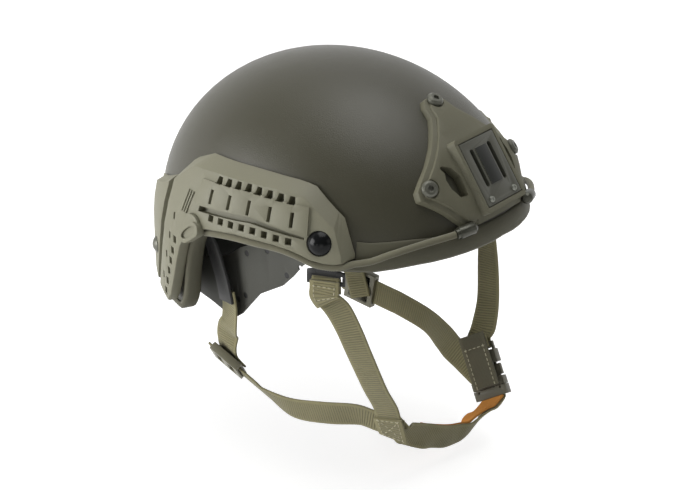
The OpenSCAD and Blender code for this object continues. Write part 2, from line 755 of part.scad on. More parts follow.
module bungee(s) {
    color(web_olive)
        round_cord(smooth([for (i = [0 : bungee_n - 1]) bungee_pt(i, s)], 2), bungee_d, bungee_sides);
}
module bungee_right() bungee(-1);
module bungee_left() bungee(1);
// Barrel clip: it takes the bungee's end and hooks the shroud's lower corner
module at_clip(s) {
    a = on_shell(clip_end_t, clip_end_v, clip_w, s);
    b = on_shell(clip_end_t - 6, clip_end_v + 1.6, clip_w + 0.4, s);
    d = unit(b - a);
    translate(a) rotate([0, acos(d.z), atan2(d.y, d.x)]) children();
}
module bungee_clip(s) {
    color(black)
        at_clip(s) {
            translate([0, 0, seat]) cylinder(d = clip_d - 1.6, h = 2.6, $fn = 32);
            translate([0, 0, 2.6]) cylinder(d = clip_d, h = clip_l - 4, $fn = 32);
            translate([0, 0, clip_l - 1.5]) cylinder(d1 = clip_d, d2 = clip_d - 3, h = 2, $fn = 32);
        }
}
module bungee_clip_right() bungee_clip(-1);
module bungee_clip_left() bungee_clip(1);

// Liner pads: cushions that follow the inside of the shell, crowned towards the head
pad_rows = 8;
pad_w0 = -shell_wall - pad_gap;
function crown(a, b) = pow(max(0, 1 - pow(abs(a), 3.4)), 0.5) * pow(max(0, 1 - pow(abs(b), 3.4)), 0.5);
module shell_pad(t0, t1, v0, v1, s, thick) {
    n = pad_rows;
    outer = [
        for (i = [0 : n])
            for (j = [0 : n])
                let (a = -1 + 2 * i / n, b = -1 + 2 * j / n, f = 0.06 * a * a * b)
                    on_shell((t0 + t1) / 2 + (t1 - t0) / 2 * a * (1 - 0.07 * b * b),
                        (v0 + v1) / 2 + (v1 - v0) / 2 * (b - f), pad_w0, s)
    ];
    inner = [
        for (i = [0 : n])
            for (j = [0 : n])
                let (a = -1 + 2 * i / n, b = -1 + 2 * j / n, f = 0.06 * a * a * b,
                    h = 2.5 + (thick - 2.5) * crown(a * 0.97, b * 0.97))
                    on_shell((t0 + t1) / 2 + (t1 - t0) / 2 * a * (1 - 0.07 * b * b),
                        (v0 + v1) / 2 + (v1 - v0) / 2 * (b - f), pad_w0 - h, s)
    ];
    m = (n + 1) * (n + 1);
    top = [
        for (i = [0 : n - 1])
            for (j = [0 : n - 1])
                let (q = i * (n + 1) + j)
                    each [
                        [q, q + 1, q + n + 2], [q, q + n + 2, q + n + 1],
                        [m + q, m + q + n + 2, m + q + 1], [m + q, m + q + n + 1, m + q + n + 2]
                    ]
    ];
    rim = [
        for (i = [0 : n - 1])
            let (
                a = i * (n + 1),
                b = a + n + 1,
                c = i * (n + 1) + n,
                d = c + n + 1,
                e = i,
                g = n * (n + 1) + i
            )
                each [
                    [a, b, m + b], [a, m + b, m + a], [d, c, m + c], [d, m + c, m + d],
                    [e + 1, e, m + e], [e + 1, m + e, m + e + 1], [g, g + 1, m + g + 1],
                        [g, m + g + 1, m + g]
                ]
    ];
    faces = concat(top, rim);
    color(foam)
        polyhedron(points = concat(outer, inner),
            faces = s > 0 ? faces : [for (f = faces) [f[2], f[1], f[0]]], convexity = 6);
}
module pad_front() shell_pad(-21, 21, 37, 84, 1, pad_t);
module pad_right() shell_pad(72, 112, 50, 96, -1, pad_t);
module pad_left() shell_pad(72, 112, 50, 96, 1, pad_t);
module pad_rear_right() shell_pad(138, 172, 22, 80, -1, pad_t);
module pad_rear_left() shell_pad(138, 172, 22, 80, 1, pad_t);
crown_pad_r = 36;
crown_sides = 24;
function crown_ring(f, drop) = [
    for (j = [0 : crown_sides - 1])
        let (
            x = crown_pad_r * 0.86 * f * cos(360 * j / crown_sides),
            y = crown_pad_r * 1.15 * f * sin(360 * j / crown_sides),
            a = shell_a + pad_w0,
            b = shell_b + pad_w0,
            c = shell_h + pad_w0
        )
            [x, y, c * sqrt(1 - pow(x / a, 2) - pow(y / b, 2)) - drop]
];
module pad_crown() {
    color(foam)
        skin(concat(
            [for (q = [[0.35, 1], [0.7, 0.94], [0.9, 0.74], [1, 0.4]]) crown_ring(q[0], pad_t * q[1])],
            [crown_ring(1, 0.4), crown_ring(0.66, 0), crown_ring(0.33, 0)]
        ));
}

// Fit band: a thin wing on each side, clamped by the rail bolt in front, loose behind
wing_edge = [
    // azimuth, lower edge, upper edge, distance inside the outer surface
    [59, 26, 41, wing_front], [63, 25, 42, wing_front], [66, 22, 41, wing_front],
    [69, 12, 36, wing_front + 5],
    [73, 3, 30, wing_front + 11], [78, -10, 22, wing_in - 2], [83, -20, 17, wing_in],
    [89, -27, 14, wing_in],
    [94, -33, 9, wing_in], [99, -44, 2, wing_in], [104, -55, -4, wing_in], [107.5, -60, -9, wing_in],
    [110, -61, -13, wing_in - 1], [114, -59, -17, wing_in - 3], [120, -56, -22, wing_in - 6],
    [128, -56, -27, wing_in - 9], [138, -57, -30, wing_in - 12], [148, -58, -33, wing_in - 14],
    [156, -58, -36, wing_in - 15]
];
wing_rows = 4;
wing_hole_d = 4.4;
wing_holes = [[99.8, -6], [81.5, -11], [75, -1], [101, -39], [105, -45], [90, 3]];
module curved_sheet(edge, thick, s) {
    skin([
        for (q = edge)
            let (
                out = [for (i = [0 : wing_rows]) on_shell(q[0], q[1] + (q[2] - q[1]) * i / wing_rows,
                    -q[3], s)],
                back = [
                    for (i = [wing_rows : -1 : 0])
                        on_shell(q[0], q[1] + (q[2] - q[1]) * i / wing_rows, -q[3] - thick, s)
                ]
            )
                concat(out, back)
    ], turned = s > 0);
}
module wing(s) {
    color(olive)
        difference() {
            curved_sheet(wing_edge, wing_t, s);
            for (q = wing_holes)
                at_shell(q[0], q[1], -wing_in - 8, s) cylinder(d = wing_hole_d, h = 16, $fn = 20);
            at_shell(rail_bolt_t, rail_bolt_v, -30, s) cylinder(d = bolt_hole_d, h = 25, $fn = 32);
        }
}
module wing_right() wing(-1);
module wing_left() wing(1);

// Nape yoke: the dial's curved housing, with an arm along the inside of each wing
yoke_low = -80;
yoke_high = -36;
arm_low = -54;
arm_high = -38;
yoke_in = 5;
yoke_t = 6;
arm_gap = 0.4;
arm_t = 2;
dial_z = -58;
function wing_off(t) = lookup(t, [for (q = wing_edge) [q[0], q[3]]]);
yoke_rear = wing_off(156) + wing_t + arm_gap + yoke_in;
yoke_back_y = shell_b - yoke_rear;
yoke_edge = [
    for (t = [124 : 8 : 236])
        let (
            q = t > 180 ? 360 - t : t,
            f = max(0, min(1, (q - 150) / 14)),
            off = wing_off(min(q, 156)) + wing_t + arm_gap + yoke_in * f
        )
            [t, arm_low + (yoke_low - arm_low) * f, arm_high + (yoke_high - arm_high) * f, off,
                arm_t + (yoke_t - arm_t) * f]
];
module along_y(y) translate([0, y, dial_z]) rotate([-90, 0, 0]) children();
module nape_yoke() {
    color(black)
        union() {
            skin([
                for (q = yoke_edge)
                    [
                        on_shell(q[0], q[1], -q[3], 1), on_shell(q[0], q[2], -q[3], 1),
                        on_shell(q[0], q[2], -q[3] - q[4], 1), on_shell(q[0], q[1], -q[3] - q[4], 1)
                    ]
            ], turned = true);
            along_y(yoke_back_y - 4) cylinder(d = dial_d - 6, h = 4, $fn = 48);
            along_y(yoke_back_y - 4) cylinder(d = spindle_d, h = 4 + seat + dial_t - 1.5, $fn = 48);
        }
}
dial_flutes = 18;
module dial_knob() {
    color(black)
        along_y(yoke_back_y + seat)
            difference() {
                linear_extrude(dial_t)
                    difference() {
                        circle(d = dial_d, $fn = 72);
                        for (i = [0 : dial_flutes - 1])
                            rotate(i * 360 / dial_flutes) translate([dial_d / 2 + 0.6, 0])
                                circle(d = 3.6, $fn = 16);
                    }
                translate([0, 0, -1]) cylinder(d = spindle_d + 2 * dial_gap, h = dial_t + 2, $fn = 48);
                translate([0, 0, dial_t - 1.4]) cylinder(d = dial_d - 12, h = 2, $fn = 48);
            }
}
nape_pad_n = 10;
nape_pad_t = 10;
nape_pad_half = 30;
module nape_pad() {
    n = nape_pad_n;
    face = yoke_rear + yoke_t + seat;
    mid = (yoke_low + yoke_high) / 2;
    half = (yoke_high - yoke_low) / 2;
    color(foam)
        skin([
            for (i = [0 : n])
                let (a = -1 + 2 * i / n, t = 180 + a * nape_pad_half, tall = half * (1 - 0.12 * a * a))
                    concat(
                        [for (j = [0 : n]) on_shell(t, mid + tall * (-1 + 2 * j / n), -face, 1)],
                        [
                            for (j = [n : -1 : 0])
                                let (b = -1 + 2 * j / n)
                                    on_shell(t, mid + tall * b,
                                        -face - 2 - (nape_pad_t - 2) * crown(a * 0.97, b * 0.97), 1)
                        ]
                    )
        ], turned = true);
}

// Webbing: a flat ribbon through stations of [x, y, z, bearing of its outer face, tilt of that face],
// or, where it turns back, of [x, y, z] and the direction of its width
function face_dir(q) = [cos(q[3]) * cos(q[4]), sin(q[3]) * cos(q[4]), sin(q[4])];
function place(q) = [q[0], q[1], q[2]];
function framed(p) = let (c = [for (q = p) place(q)]) [
    for (i = [0 : len(p) - 1])
        len(p[i]) == 6 ? p[i] : concat(c[i], unit(cross(face_dir(p[i]), path_dir(c, i))))
];
module ribbon(stations, wide, thick, steps = 3, lift = 0) {
    p = smooth(framed(stations), steps);
    c = [for (q = p) place(q)];
    skin([
        for (i = [0 : len(p) - 1])
            let (
                d = path_dir(c, i),
                side = [p[i][3], p[i][4], p[i][5]],
                across = unit(side - d * (side * d)) * wide / 2,
                out = unit(cross(d, across)),
                mid = c[i] + out * lift,
                half = out * thick / 2
            )
                [mid - across - half, mid + across - half, mid + across + half, mid - across + half]
    ]);
}
// A band whose width need not stand square to its run: rows hold its two edges
function band_row(mid, across, wide) = concat(mid + across * wide / 2, mid - across * wide / 2);
module band(rows, thick, steps) {
    p = smooth(rows, steps);
    fore = [for (q = p) place(q)];
    back = [for (q = p) [q[3], q[4], q[5]]];
    skin([
        for (i = [0 : len(p) - 1])
            let (half = unit(cross(path_dir((fore + back) / 2, i), fore[i] - back[i])) * thick / 2)
                [back[i] - half, fore[i] - half, fore[i] + half, back[i] + half]
    ]);
}
layer = web_t + web_gap;
// The bearing of the shell's outward face at an azimuth
function bearing(t, s) = let (n = shell_normal(t, 0, s), b = atan2(n.y, n.x)) s < 0 && b < 0 ? b + 360 : b;
function along(p, d, by) = p + unit(d) * by;

// Black hangers behind the ears, riveted to the shell's inner wall
hanger_w = 17;
hanger_t = 1.8;
hanger_run = [[112, 24, 2.5], [112, 10, 3.7], [111, -2, 8], [110, -18, 11.5], [108.5, -33, 13.5],
    [107.5, -46, 14.5]];
module hanger(s) {
    color(black) {
        ribbon(
            [for (q = hanger_run) concat(on_shell(q[0], q[1], -shell_wall - q[2], s),
                [bearing(112, s), q[1] > 5 ? 12 : 0])],
            hanger_w, hanger_t, 2
        );
        at_shell(112, 19, -shell_wall - 4, s) cylinder(d = 10, h = 3, $fn = 32);
    }
}
module hanger_right() hanger(-1);
module hanger_left() hanger(1);

// Adjusters on the rear straps, and the straight run of webbing that each one slides along
glide_right = [-72, 47, -102];
glide_left = [68, 37, -93];
glide_dir_right = [2.5, -29.6, -14];
glide_dir_left = [0, -36, -3.7];
glide_face_right = [168, -38];
glide_face_left = [0, -6];
glide_l = 26;
glide_wall = 3;
glide_t = 6;
function glide_normal(f) = face_dir([0, 0, 0, f[0], f[1]]);
module glide(at, d, face) {
    tunnel_w = web_w + 1.6;
    tunnel_t = web_t + 1.2;
    color(black)
        at_frame(at, d, glide_normal(face))
            difference() {
                cube([glide_l, web_w + 2 * glide_wall + 1, glide_t], center = true);
                cube([glide_l + 2, tunnel_w, tunnel_t], center = true);
                for (i = [-1, 1])
                    translate([i * glide_l * 0.22, 0, 0])
                        cube([glide_l * 0.22, tunnel_w, glide_t + 2], center = true);
            }
}
module rear_glide_right() glide(glide_right, glide_dir_right, glide_face_right);
module rear_glide_left() glide(glide_left, glide_dir_left, glide_face_left);

// Front anchors: a plate on each rail bolt that ends in an eye below the temple edge
anchor_edge = [
    // azimuth, lower edge, upper edge
    [56.9, -1.5, 8.5], [59.6, -1.5, 10], [60.4, -1.5, 37], [61.6, -1.5, 40], [63, -1.5, 41],
    [64.4, -1.5, 40],
    [65.6, -1.5, 37], [66.4, -1.5, 10], [69.1, -1.5, 8.5]
];
eye_z = 3.6;
eye_h = 4.4;
module front_anchor(s) {
    color(black)
        difference() {
            union() {
                curved_sheet([for (q = anchor_edge) concat(q, -anchor_w)], anchor_t, s);
                at_shell(rail_bolt_t, rail_bolt_v, anchor_w - 0.5, s)
                    cylinder(d = 11, h = nut_w - anchor_w + 0.5, $fn = 32);
            }
            at_shell(rail_bolt_t, rail_bolt_v, -30, s) cylinder(d = bolt_hole_d, h = 40, $fn = 32);
            at_shell(rail_bolt_t, eye_z, anchor_w, s) cube([web_w + 1.6, eye_h, 12], center = true);
        }
}
module front_anchor_right() front_anchor(-1);
module front_anchor_left() front_anchor(1);

// Where the straps are sewn together below the right cheek
join_at = [-52, -86, -117.5];
join_face = [195, -14.6];
join_down = [0.283, -0.088, -0.956];
join_fore = [0.299, -0.94, -0.154];
join_chin = [0.357, -0.571, -0.741];
function join_pt(d, by, k) =
    concat(join_at + d * by + face_dir([0, 0, 0, join_face[0], join_face[1]]) * k * layer, join_face);
// A front strap threads its eye from inside and falls outside it
curve_sag = 1.2;
eye_in = anchor_w - anchor_t - web_t / 2 - seat - curve_sag;
eye_out = anchor_w + web_t / 2 + 2 * seat;
function eye_thread(s) = [
    for (q = [[-9, eye_in], [-3, eye_in], [1.7, eye_in], [4, anchor_w - anchor_t / 2], [1.7, eye_out],
        [-3, eye_out], [-9, eye_out]])
        concat(on_shell(rail_bolt_t, q[0], q[1], s), cross(shell_normal(rail_bolt_t, 0, s), [0, 0, -1]))
];
module front_strap_right() {
    color(web_olive)
        ribbon(concat(eye_thread(-1), [
            [-84.5, -65, -20, 200, 0], [-80, -70.6, -35, 197, 0], [-76, -74.8, -50.2, 195, 0],
            [-70.6, -78.2, -66.7, 193, -2], [-64.2, -81.2, -84, 192, -8], join_pt(join_down, -20, 0),
            join_pt(join_down, -10, 0), join_pt(join_down, 3, 0)
        ]), web_w, web_t, 3);
}
// The buckle's frame: along runs from its socket to its plug, face looks outwards
buckle_at = [52.2, -96, -127.5];
buckle_along = [-0.234, -0.563, -0.793];
buckle_face = [0.899, 0.185, -0.396];
buckle_x = unit(buckle_along);
buckle_z = unit(buckle_face - buckle_x * (buckle_face * buckle_x));
buckle_y = cross(buckle_z, buckle_x);
function buckle_pt(x, y, z) = concat(buckle_at + buckle_x * x + buckle_y * y + buckle_z * z, [11.6, -23.4]);
function bar_pt(x, y, z) = concat(place(buckle_pt(x, y, z)), buckle_y);
tab_z = -8;
bar_l = 6;
bar_x = -buckle_l - bar_l;
bar_h = 3.4;
loop_z = bar_h / 2 + web_t / 2 + 2 * seat;
module front_strap_left() {
    color(web_olive)
        ribbon(concat(eye_thread(1), [
            [86, -64.5, -22, -18, 0], [85.5, -67, -50, -4, 0], [82, -70.4, -76.6, 2, 0],
            buckle_pt(bar_x - 12, -6, 7),
            bar_pt(bar_x - 6, -1.5, loop_z + 1), bar_pt(bar_x - 0.5, 0, loop_z),
                bar_pt(bar_x + 3.2, 0, loop_z - 0.5),
            bar_pt(bar_x + 4, 0, 0), bar_pt(bar_x + 3.2, 0, 0.5 - loop_z), bar_pt(bar_x - 0.5, 0, -loop_z),
            bar_pt(bar_x - 6, 0, -loop_z)
        ]), web_w, web_t, 3);
}
// Drop straps: from each hanger down to the inner side of its adjuster
function glide_pt(at, d, face, x, y, low) = let (
    n = glide_normal(face),
    u = unit(d),
    v = cross(n, u)
) concat(at + u * x + v * y - n * (glide_t / 2 + seat + web_t / 2 + low), face);
module drop_strap(s, mids, ends) {
    color(web_olive)
        ribbon(concat(
            [for (q = [[107.9, -37, 13.6], [107.4, -49, 14.6]])
                concat(on_shell(q[0], q[1], -shell_wall - q[2] - (hanger_t + web_t) / 2 - 2 * seat, s),
                    [bearing(112, s), 0])],
            mids,
            ends
        ), web_w, web_t, 3);
}
module drop_strap_right()
    drop_strap(
        -1, [[-79.5, 38, -67, 165, 0]],
        [for (q = [[-7.5, 21, 10], [-5, 13, 3.9], [-2, 5, 0.5], [4, -7, 0.3]])
            glide_pt(glide_right, glide_dir_right, glide_face_right, q[0], q[1], q[2])]
    );
module drop_strap_left()
    drop_strap(
        1, [[80.4, 38, -63, 14, 0]],
        [for (q = [[-6, -22, -3], [-6, -14.5, 2.2], [-3, -6, 0.3], [4, 7, 0.3]])
            glide_pt(glide_left, glide_dir_left, glide_face_left, q[0], q[1], q[2])]
    );
// Rear straps: from their tail through the adjuster and forward below the ear
rear_z = tab_z + layer;
glide_tail = 17;
function glide_line(at, d, face) = [for (x = [-glide_tail, 0, 27, 37]) concat(along(at, d, x), face)];
module rear_strap_right() {
    color(web_olive)
        ribbon(concat(
            glide_line(glide_right, glide_dir_right, glide_face_right),
            [
                [-68.6, -10, -121.6, 180, -17], [-64.6, -38, -117.2, 188, -12], join_pt(join_fore, -26, -1),
                join_pt(join_fore, -12, -1), join_pt(join_fore, 8, -1)
            ]
        ), web_w, web_t, 3);
}
module rear_strap_left() {
    color(web_olive)
        ribbon(concat(
            glide_line(glide_left, glide_dir_left, glide_face_left),
            [
                [67, -26.4, -101.5, -2, -8], buckle_pt(-45, 23, -0.5), buckle_pt(-36, 17.5, -5.6),
                buckle_pt(-27, 12, rear_z), buckle_pt(-18, 7, rear_z), buckle_pt(-10, 2.5, rear_z)
            ]
        ), web_w, web_t, 3);
}
// The patch sewn over the joined straps
patch_l = 22;
patch_cut = 8;
patch_run = framed([for (x = [-0.5, 0, 0.5]) join_pt(join_down, 1 + x * patch_l, 1)]);
function patch_row(q, cut) =
    band_row(place(q), [q[3], q[4], q[5]], web_w + 1) - concat([0, 0, 0], unit(join_down) * cut);
module join_patch() {
    color(web_olive)
        band([for (i = [0 : 2]) patch_row(patch_run[i], patch_cut * i / 2)], web_t, 2);
}
// Buckle on the wearer's left: a socket with windows, a plug with two press-in prongs
buckle_wall = 1.8;
prong_w = 3.2;
prong_reach = 15;
prong_head_l = 8;
prong_pin_x = 1.8;
prong_pin_y = 8.4;
prong_h = 4;
plug_base_l = 7;
plug_tunnel_z = -1.4;
module at_buckle() {
    at_frame(buckle_at, buckle_along, buckle_face) children();
}
module buckle_socket() {
    color(black)
        at_buckle()
            difference() {
                union() {
                    translate([-buckle_l, -buckle_w / 2, -buckle_t / 2])
                        cube([buckle_l, buckle_w, buckle_t]);
                    translate([bar_x, -buckle_w / 2 + 0.5, -bar_h / 2])
                        cube([bar_l + 1, buckle_w - 1, bar_h]);
                }
                translate([-buckle_l + 2, -buckle_w / 2 + buckle_wall, -buckle_t / 2 + buckle_wall])
                    cube([buckle_l, buckle_w - 2 * buckle_wall, buckle_t - 2 * buckle_wall]);
                for (s = [-1, 1])
                    translate([-prong_reach - 1.5, s * buckle_w / 2 - 4, -buckle_t / 2 - 1])
                        cube([prong_head_l + 2.5, 8, buckle_t + 2]);
                translate([bar_x + 1.8, -web_w / 2 - 0.8, -bar_h])
                    cube([bar_l - 1.8, web_w + 1.6, 2 * bar_h]);
            }
}
module buckle_plug() {
    color(black)
        at_buckle()
            difference() {
                union() {
                    translate([seat, -buckle_w / 2, -buckle_t / 2]) cube([plug_base_l, buckle_w, buckle_t]);
                    translate([-12, -3, -1.8]) cube([13, 6, 3.6]);
                }
                translate([4.6, -web_w / 2 - 1.2, plug_tunnel_z - web_t / 2 - 0.8])
                    cube([plug_base_l, web_w + 2.4, web_t + 1.6]);
                for (s = [-1, 1])
                    translate([-1, s * prong_pin_y - 2.6, -prong_h / 2 - 0.3])
                        cube([prong_pin_x + 3, 5.2, prong_h + 0.6]);
                for (s = [-1, 1])
                    translate([prong_pin_x, s * prong_pin_y, -buckle_t])
                        cylinder(d = 1.6, h = 2 * buckle_t, $fn = 24);
            }
}
module prong(s) {
    head = buckle_w / 2 - prong_pin_y;
    color(black)
        at_buckle() {
            translate([prong_pin_x, s * prong_pin_y, -prong_h / 2])
                cylinder(d = prong_w, h = prong_h, $fn = 32);
            translate([prong_pin_x, s * prong_pin_y, -prong_h / 2 - 1.2])
                cylinder(d = 1.5, h = prong_h + 2.4, $fn = 24);
            translate([-prong_reach, s * prong_pin_y - prong_w / 2, -prong_h / 2])
                cube([prong_reach + prong_pin_x, prong_w, prong_h]);
            translate([-prong_reach, s > 0 ? prong_pin_y : -prong_pin_y - head, -prong_h / 2])
                cube([prong_head_l, head, prong_h]);
        }
}
module buckle_prong_front() prong(-1);
module buckle_prong_rear() prong(1);

// The sewn tab that backs the buckle on the cheek side
module side_tab() {
    color(web_olive) ribbon([for (x = [-40, -20, -1]) buckle_pt(x, 0, tab_z)], web_w + 1, web_t, 2);
}
function plug_pt(x) = concat(place(buckle_pt(x, 0, plug_tunnel_z)), -buckle_y);
chin_run = framed([
    join_pt(join_chin, -8, -2.3), join_pt(join_chin, 0, -2.3), join_pt(join_chin, 7, -2.4),
    [-42.8, -90, -123.8, 0.26, -0.4, 0.88],
    [-38, -91, -126.2, 0.36, -0.34, 0.87], [-30.5, -92.2, -130.4, 0.2, -0.17, 0.96],
    [-22, -93.5, -134.8, -0.02, -0.01, 1], [-11.9, -94.8, -139.3, -0.24, -0.17, 0.96],
    [0.2, -96.1, -144.4, -0.23, -0.18, 0.96], [11.3, -96.9, -147.2, -0.15, -0.29, 0.95],
    [17.4, -98.5, -147.6, -0.04, -0.43, 0.9], [22.3, -99.6, -146.4, 0.01, -0.49, 0.87],
    [27.3, -100.3, -144.4, 0.05, -0.53, 0.85], [32.4, -101, -142.4, 0.1, -0.58, 0.81],
    [37.5, -101.5, -140.3, 0.17, -0.65, 0.74], [43.6, -101.3, -138.2, 0.27, -0.74, 0.61],
    plug_pt(plug_base_l + 2.2), plug_pt(plug_base_l), plug_pt(5.2)
]);
chin_spots = [for (q = chin_run) place(q)];
chin_side = [
    for (i = [0 : len(chin_run) - 1])
        let (d = path_dir(chin_spots, i), side = [chin_run[i][3], chin_run[i][4], chin_run[i][5]])
            i > len(chin_run) - 4 ? -buckle_y : unit(side - d * (side * d))
];
module chin_strap() {
    color(web_olive)
        band([for (i = [0 : len(chin_run) - 1]) band_row(chin_spots[i], chin_side[i], web_w)], web_t, 4);
}
// The suede lining turns ahead of the webbing on its way to the buckle
chin_pad_t = 1.8;
chin_pad_w = web_w - 1.5;
pad_from = 5;
pad_turn = [0, 0, 0, 0, 0, 0, 0.15, 0.45, 0.75, 1, 1, 1];
function pad_row(i, turn) = let (
    side = chin_side[i],
    out = unit(cross(path_dir(chin_spots, i), side)),
    lean = unit(side * (1 - turn) - buckle_y * turn),
    near = chin_spots[i] + side * chin_pad_w / 2 - out * ((web_t + chin_pad_t) / 2 + 2 * web_gap)
) band_row(near - lean * chin_pad_w / 2, lean, chin_pad_w);
module chin_pad() {
    color(tan) band([for (k = [0 : len(pad_turn) - 1]) pad_row(pad_from + k, pad_turn[k])], chin_pad_t, 4);
}

shell();
rim_trim();
rail_right();
rail_left();
rail_bolt_right();
rail_bolt_left();
rail_nut_right();
rail_nut_left();
rear_bolt_right();
rear_bolt_left();
rear_nut_right();
rear_nut_left();
bungee_hook_right();
bungee_hook_left();
bungee_right();
bungee_left();
bungee_clip_right();
bungee_clip_left();
shroud_frame();
shroud_plate();
shroud_bolt_top();
shroud_bolt_right();
shroud_bolt_left();
shroud_nut_top();
shroud_nut_right();
shroud_nut_left();
plate_screw_right();
plate_screw_left();
pad_crown();
pad_front();
pad_right();
pad_left();
pad_rear_right();
pad_rear_left();
wing_right();
wing_left();
nape_yoke();
nape_pad();
dial_knob();
hanger_right();
hanger_left();
drop_strap_right();
drop_strap_left();
front_anchor_right();
front_anchor_left();
front_strap_right();
front_strap_left();
rear_strap_right();
rear_strap_left();
rear_glide_right();
rear_glide_left();
join_patch();
side_tab();
chin_strap();
chin_pad();
buckle_socket();
buckle_plug();
buckle_prong_front();
buckle_prong_rear();
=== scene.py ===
import math

import bmesh
import bpy
from mathutils import Matrix, Vector


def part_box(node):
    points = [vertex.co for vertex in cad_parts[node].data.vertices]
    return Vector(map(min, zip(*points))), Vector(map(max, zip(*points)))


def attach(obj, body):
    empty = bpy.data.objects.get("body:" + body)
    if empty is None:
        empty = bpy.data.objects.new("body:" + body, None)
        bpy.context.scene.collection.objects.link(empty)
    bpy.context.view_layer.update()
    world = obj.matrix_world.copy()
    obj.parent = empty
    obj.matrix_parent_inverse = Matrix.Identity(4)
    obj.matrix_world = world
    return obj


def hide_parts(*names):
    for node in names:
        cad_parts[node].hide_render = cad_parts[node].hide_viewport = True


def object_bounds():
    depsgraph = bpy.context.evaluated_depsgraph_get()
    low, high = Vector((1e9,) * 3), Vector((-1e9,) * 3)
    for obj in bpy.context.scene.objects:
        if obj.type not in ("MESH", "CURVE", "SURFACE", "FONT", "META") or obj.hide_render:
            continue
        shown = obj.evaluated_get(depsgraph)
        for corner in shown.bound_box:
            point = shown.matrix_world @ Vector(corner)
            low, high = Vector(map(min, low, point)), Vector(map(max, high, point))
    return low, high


bl_info = {
    "name": "High-Cut Helmet",
    "version": (1, 0, 0),
    "blender": (4, 5, 0),
    "location": "3D View > Sidebar > Helmet",
    "description": "Dresses a high-cut combat helmet: shell, rails, shroud, liner and webbing harness",
    "category": "Object",
}

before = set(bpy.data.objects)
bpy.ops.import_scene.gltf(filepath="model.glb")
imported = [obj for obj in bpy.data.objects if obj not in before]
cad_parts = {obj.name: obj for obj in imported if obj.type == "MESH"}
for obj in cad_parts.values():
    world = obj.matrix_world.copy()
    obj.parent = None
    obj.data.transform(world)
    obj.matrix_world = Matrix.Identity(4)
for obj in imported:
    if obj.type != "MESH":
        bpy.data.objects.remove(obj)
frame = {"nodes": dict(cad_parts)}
NODES = frame["nodes"]
CAD_BOX = [[round(c, 5) for c in corner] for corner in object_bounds()]
MM = 0.001

# Edge line of the shell: height over azimuth from the front, in millimetres
EDGE_LINE = [
    (0, 27), (15, 25), (26, 23), (36, 21), (48, 17), (58, 16), (66, 17), (71, 21), (77, 24), (92, 23),
    (98, 22), (102.7, 19.5), (105.6, 15.5), (107.5, 10), (109, 4), (110.4, -6), (111.9, -19.4), (113.4, -39),
    (114.6, -46), (116.1, -51), (118, -54), (121.5, -54.5), (129, -56), (145, -61), (162, -62), (180, -62),
]
EDGE_LOW, EDGE_HIGH = -70.0, 40.0

